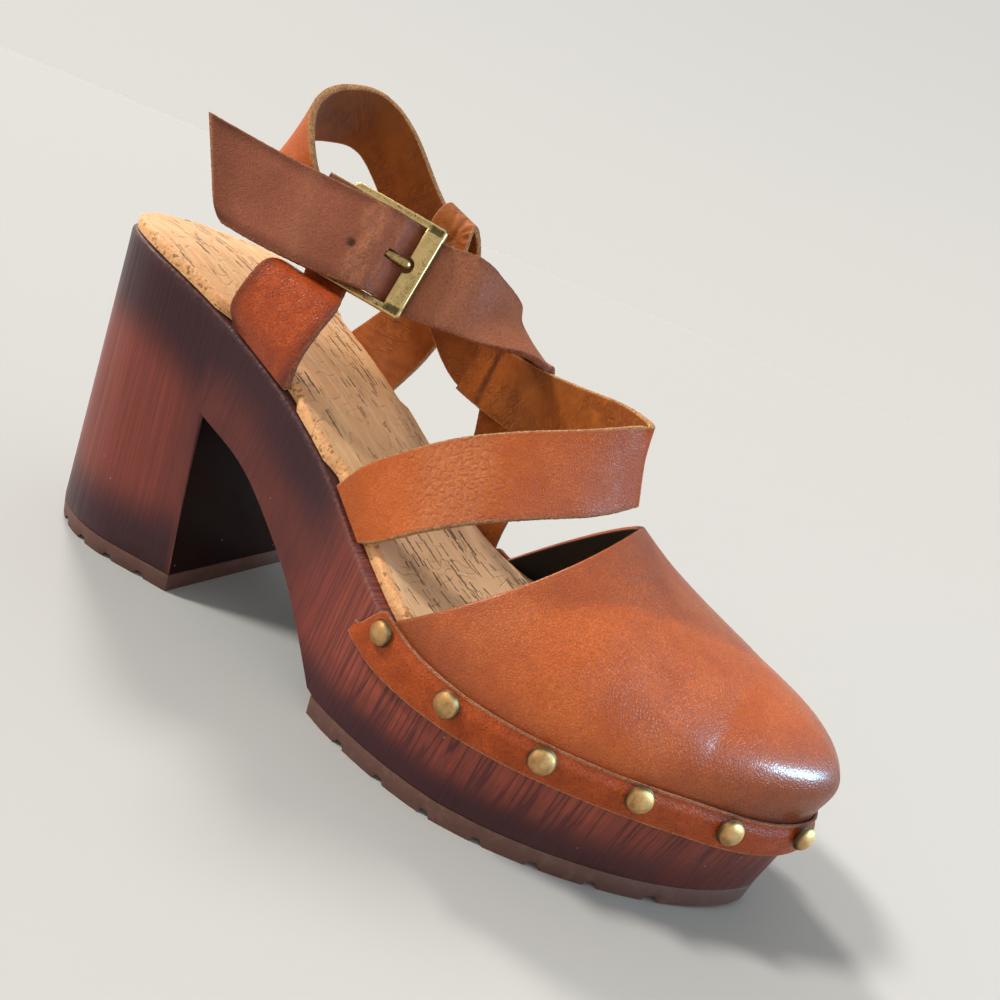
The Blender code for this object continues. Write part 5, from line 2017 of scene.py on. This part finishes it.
    def tabs(self) -> None:
        """Leather loops that rise from the sole edge and hold the heel strap."""
        f = self.finishes
        back = -self.buckle.axes()[0]
        end = tuple((*self.buckle.point(*place), *back, self.tab_end_width) for place in self.outer_tab_end)
        Ribbon(
            "outer_loop", ("outer_tab",), "tan_leather", [f.tab, f.lining, f.red_cut],
            rows=(self.foot_row(Side.OUTER, *self.outer_tab_foot),) + self.outer_tab_rows + end,
            burnish_and_shade=lambda s, c: 0.60 * fade(abs(c), 6.5, 4.5) + 0.3 * fade(s, 7, -7), rubbed=0.1,
        ).build()
        loop = Ribbon(
            "inner_loop", ("inner_tab",), "tan_leather", [f.tab, f.lining, f.cut],
            rows=(self.foot_row(Side.INNER, *self.inner_tab_foot),) + self.inner_tab_rows, grain=Skin.BACK,
            creases=tuple(self.rosette(61.5, -1.6)),
            # painted shade in the dimple at the middle of the rosette
            burnish_and_shade=lambda s, c: 0.55 * smooth(1.3 - math.hypot(s - 63.5, c - 1.0) / 4),
        )
        bm = loop.mesh()
        for face in bm.faces:
            if face.material_index == Layer.GRAIN.value and face.calc_center_median().y < self.turned_y:
                face.material_index = Layer.LINING.value
        loop.build(bm)

    def build(self) -> None:
        """Build every strap and tab."""
        self.instep()
        self.heel()
        self.buckled()
        self.tabs()


@dataclass
class Studio:
    """Pale floor, soft lights and the camera at the photograph's angle."""

    finishes: Finishes
    eye: Colour = (203.17, -203.59, 116.13)
    right: Colour = (0.83840, 0.40002, 0.37025)
    up: Colour = (-0.44041, 0.09697, 0.89255)
    back: Colour = (0.32113, -0.91137, 0.25747)
    lens: float = 31.54
    sensor: float = 36.0
    sun_way: Colour = (-0.60, -0.30, 0.74)
    sun_power: float = 2.4
    fill_way: Colour = (-0.58, 0.36, 0.73)
    fill_power: float = 1.9
    sun_angle: float = 10.0
    sun_colour: Colour = (1.0, 0.955, 0.89)
    # the window is a tall pane seen in the gloss of the toe
    window_aim: Colour = (224.0, -13.0, 40.0)
    window_way: Colour = (0.83, 0.20, 0.52)
    window_long: Colour = (0.098, 0.386, -0.286)
    window_size: tuple[float, float] = (0.40, 0.15)
    window_far: float = 0.9
    window_power: float = 30.0
    window_colour: Colour = (0.40, 0.75, 1.0)
    horizon: Colour = (0.77, 0.75, 0.70)
    zenith: Colour = (0.52, 0.52, 0.52)
    floor_reach: float = 25.0

    def build_floor(self) -> None:
        """Wide flat floor."""
        bm = bmesh.new()
        bmesh.ops.create_circle(bm, cap_ends=True, segments=64, radius=self.floor_reach)
        floor = stand_mesh("floor", bm, [self.finishes.floor])

    def hang(self, lamp: bpy.types.Light, place: Vector, out: Vector, side: Vector) -> Piece:
        """Hang a lamp that shines against its outward direction.

        Args:
            lamp: the lamp.
            place: where it hangs.
            out: direction from the shoe to the lamp.
            side: direction of its long side.

        Returns:
            The lamp's object.
        """
        out = out.normalized()
        side = (side - out * side.dot(out)).normalized()
        holder = stand(lamp.name, lamp)
        turn = Matrix((side, out.cross(side), out)).transposed().to_4x4()
        holder.matrix_world = Matrix.Translation(place) @ turn
        return holder

    def build_lights(self) -> None:
        """Two soft suns, a window in the gloss and an even surround that meets the floor."""
        suns = (("sun", self.sun_way, self.sun_power), ("fill", self.fill_way, self.fill_power))
        for name, way, power in suns:
            sun = bpy.data.lights.new(name, "SUN")
            sun.energy = power
            sun.angle = math.radians(self.sun_angle)
            sun.color = self.sun_colour
            self.hang(sun, Vector(way), Vector(way), Vector((0, 0, 1)))
        window = bpy.data.lights.new("window", "AREA")
        window.shape = "RECTANGLE"
        window.size, window.size_y = self.window_size
        window.energy = self.window_power
        window.color = self.window_colour
        way = Vector(self.window_way).normalized()
        place = (Vector(self.window_aim) + FRAME_SHIFT) * MM + way * self.window_far
        self.hang(window, place, way, Vector(self.window_long)).visible_diffuse = False
        world = bpy.data.worlds.new("surround")
        world.use_nodes = True
        nodes, links = world.node_tree.nodes, world.node_tree.links
        parts = nodes.new("ShaderNodeSeparateXYZ")
        links.new(nodes.new("ShaderNodeTexCoord").outputs["Generated"], parts.inputs[0])
        rise = nodes.new("ShaderNodeMapRange")
        rise.interpolation_type = "SMOOTHSTEP"
        links.new(parts.outputs["Z"], rise.inputs["Value"])
        blend = nodes.new("ShaderNodeMix")
        blend.data_type = "RGBA"
        links.new(rise.outputs["Result"], blend.inputs[0])
        blend.inputs[6].default_value = (*self.horizon, 1.0)
        blend.inputs[7].default_value = (*self.zenith, 1.0)
        links.new(blend.outputs[2], nodes["Background"].inputs["Color"])
        bpy.context.scene.world = world

    def build_camera(self) -> None:
        """Camera where the photograph was taken from."""
        scene = bpy.context.scene
        lens = bpy.data.cameras.new("camera")
        lens.lens = self.lens
        lens.sensor_width = self.sensor
        lens.clip_start = 0.01
        camera = stand("camera", lens)
        turn = Matrix((self.right, self.up, self.back)).transposed().to_4x4()
        camera.matrix_world = Matrix.Translation((Vector(self.eye) + FRAME_SHIFT) * MM) @ turn
        scene.camera = camera
        scene.view_settings.view_transform = "Standard"

    def build(self) -> None:
        """Build the stage."""
        self.build_floor()
        self.build_lights()
        self.build_camera()


def main() -> None:
    """Build the shoe piece by piece round its frame."""
    logging.basicConfig(level=logging.INFO, format="%(name)s: %(message)s")
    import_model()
    last = Last()
    finishes = Finishes()
    Studio(finishes).build()
    sole = Sole(last, finishes)
    sole.build()
    Footbed(last, finishes).build()
    Vamp(last, finishes).build()
    rand = Rand(
        "toe_rand", ("rand",), "tan_leather", [finishes.rand, finishes.lining, finishes.rand_cut],
        sole=sole, thick=1.8, across_steps=18, skive=1.1, rubbed=0.12,
    )
    rand.build()
    Nails(last, rand, finishes).build()
    buckle = Buckle(finishes)
    Straps(last, finishes, buckle).build()
    buckle.build()


if __name__ == "__main__":
    main()
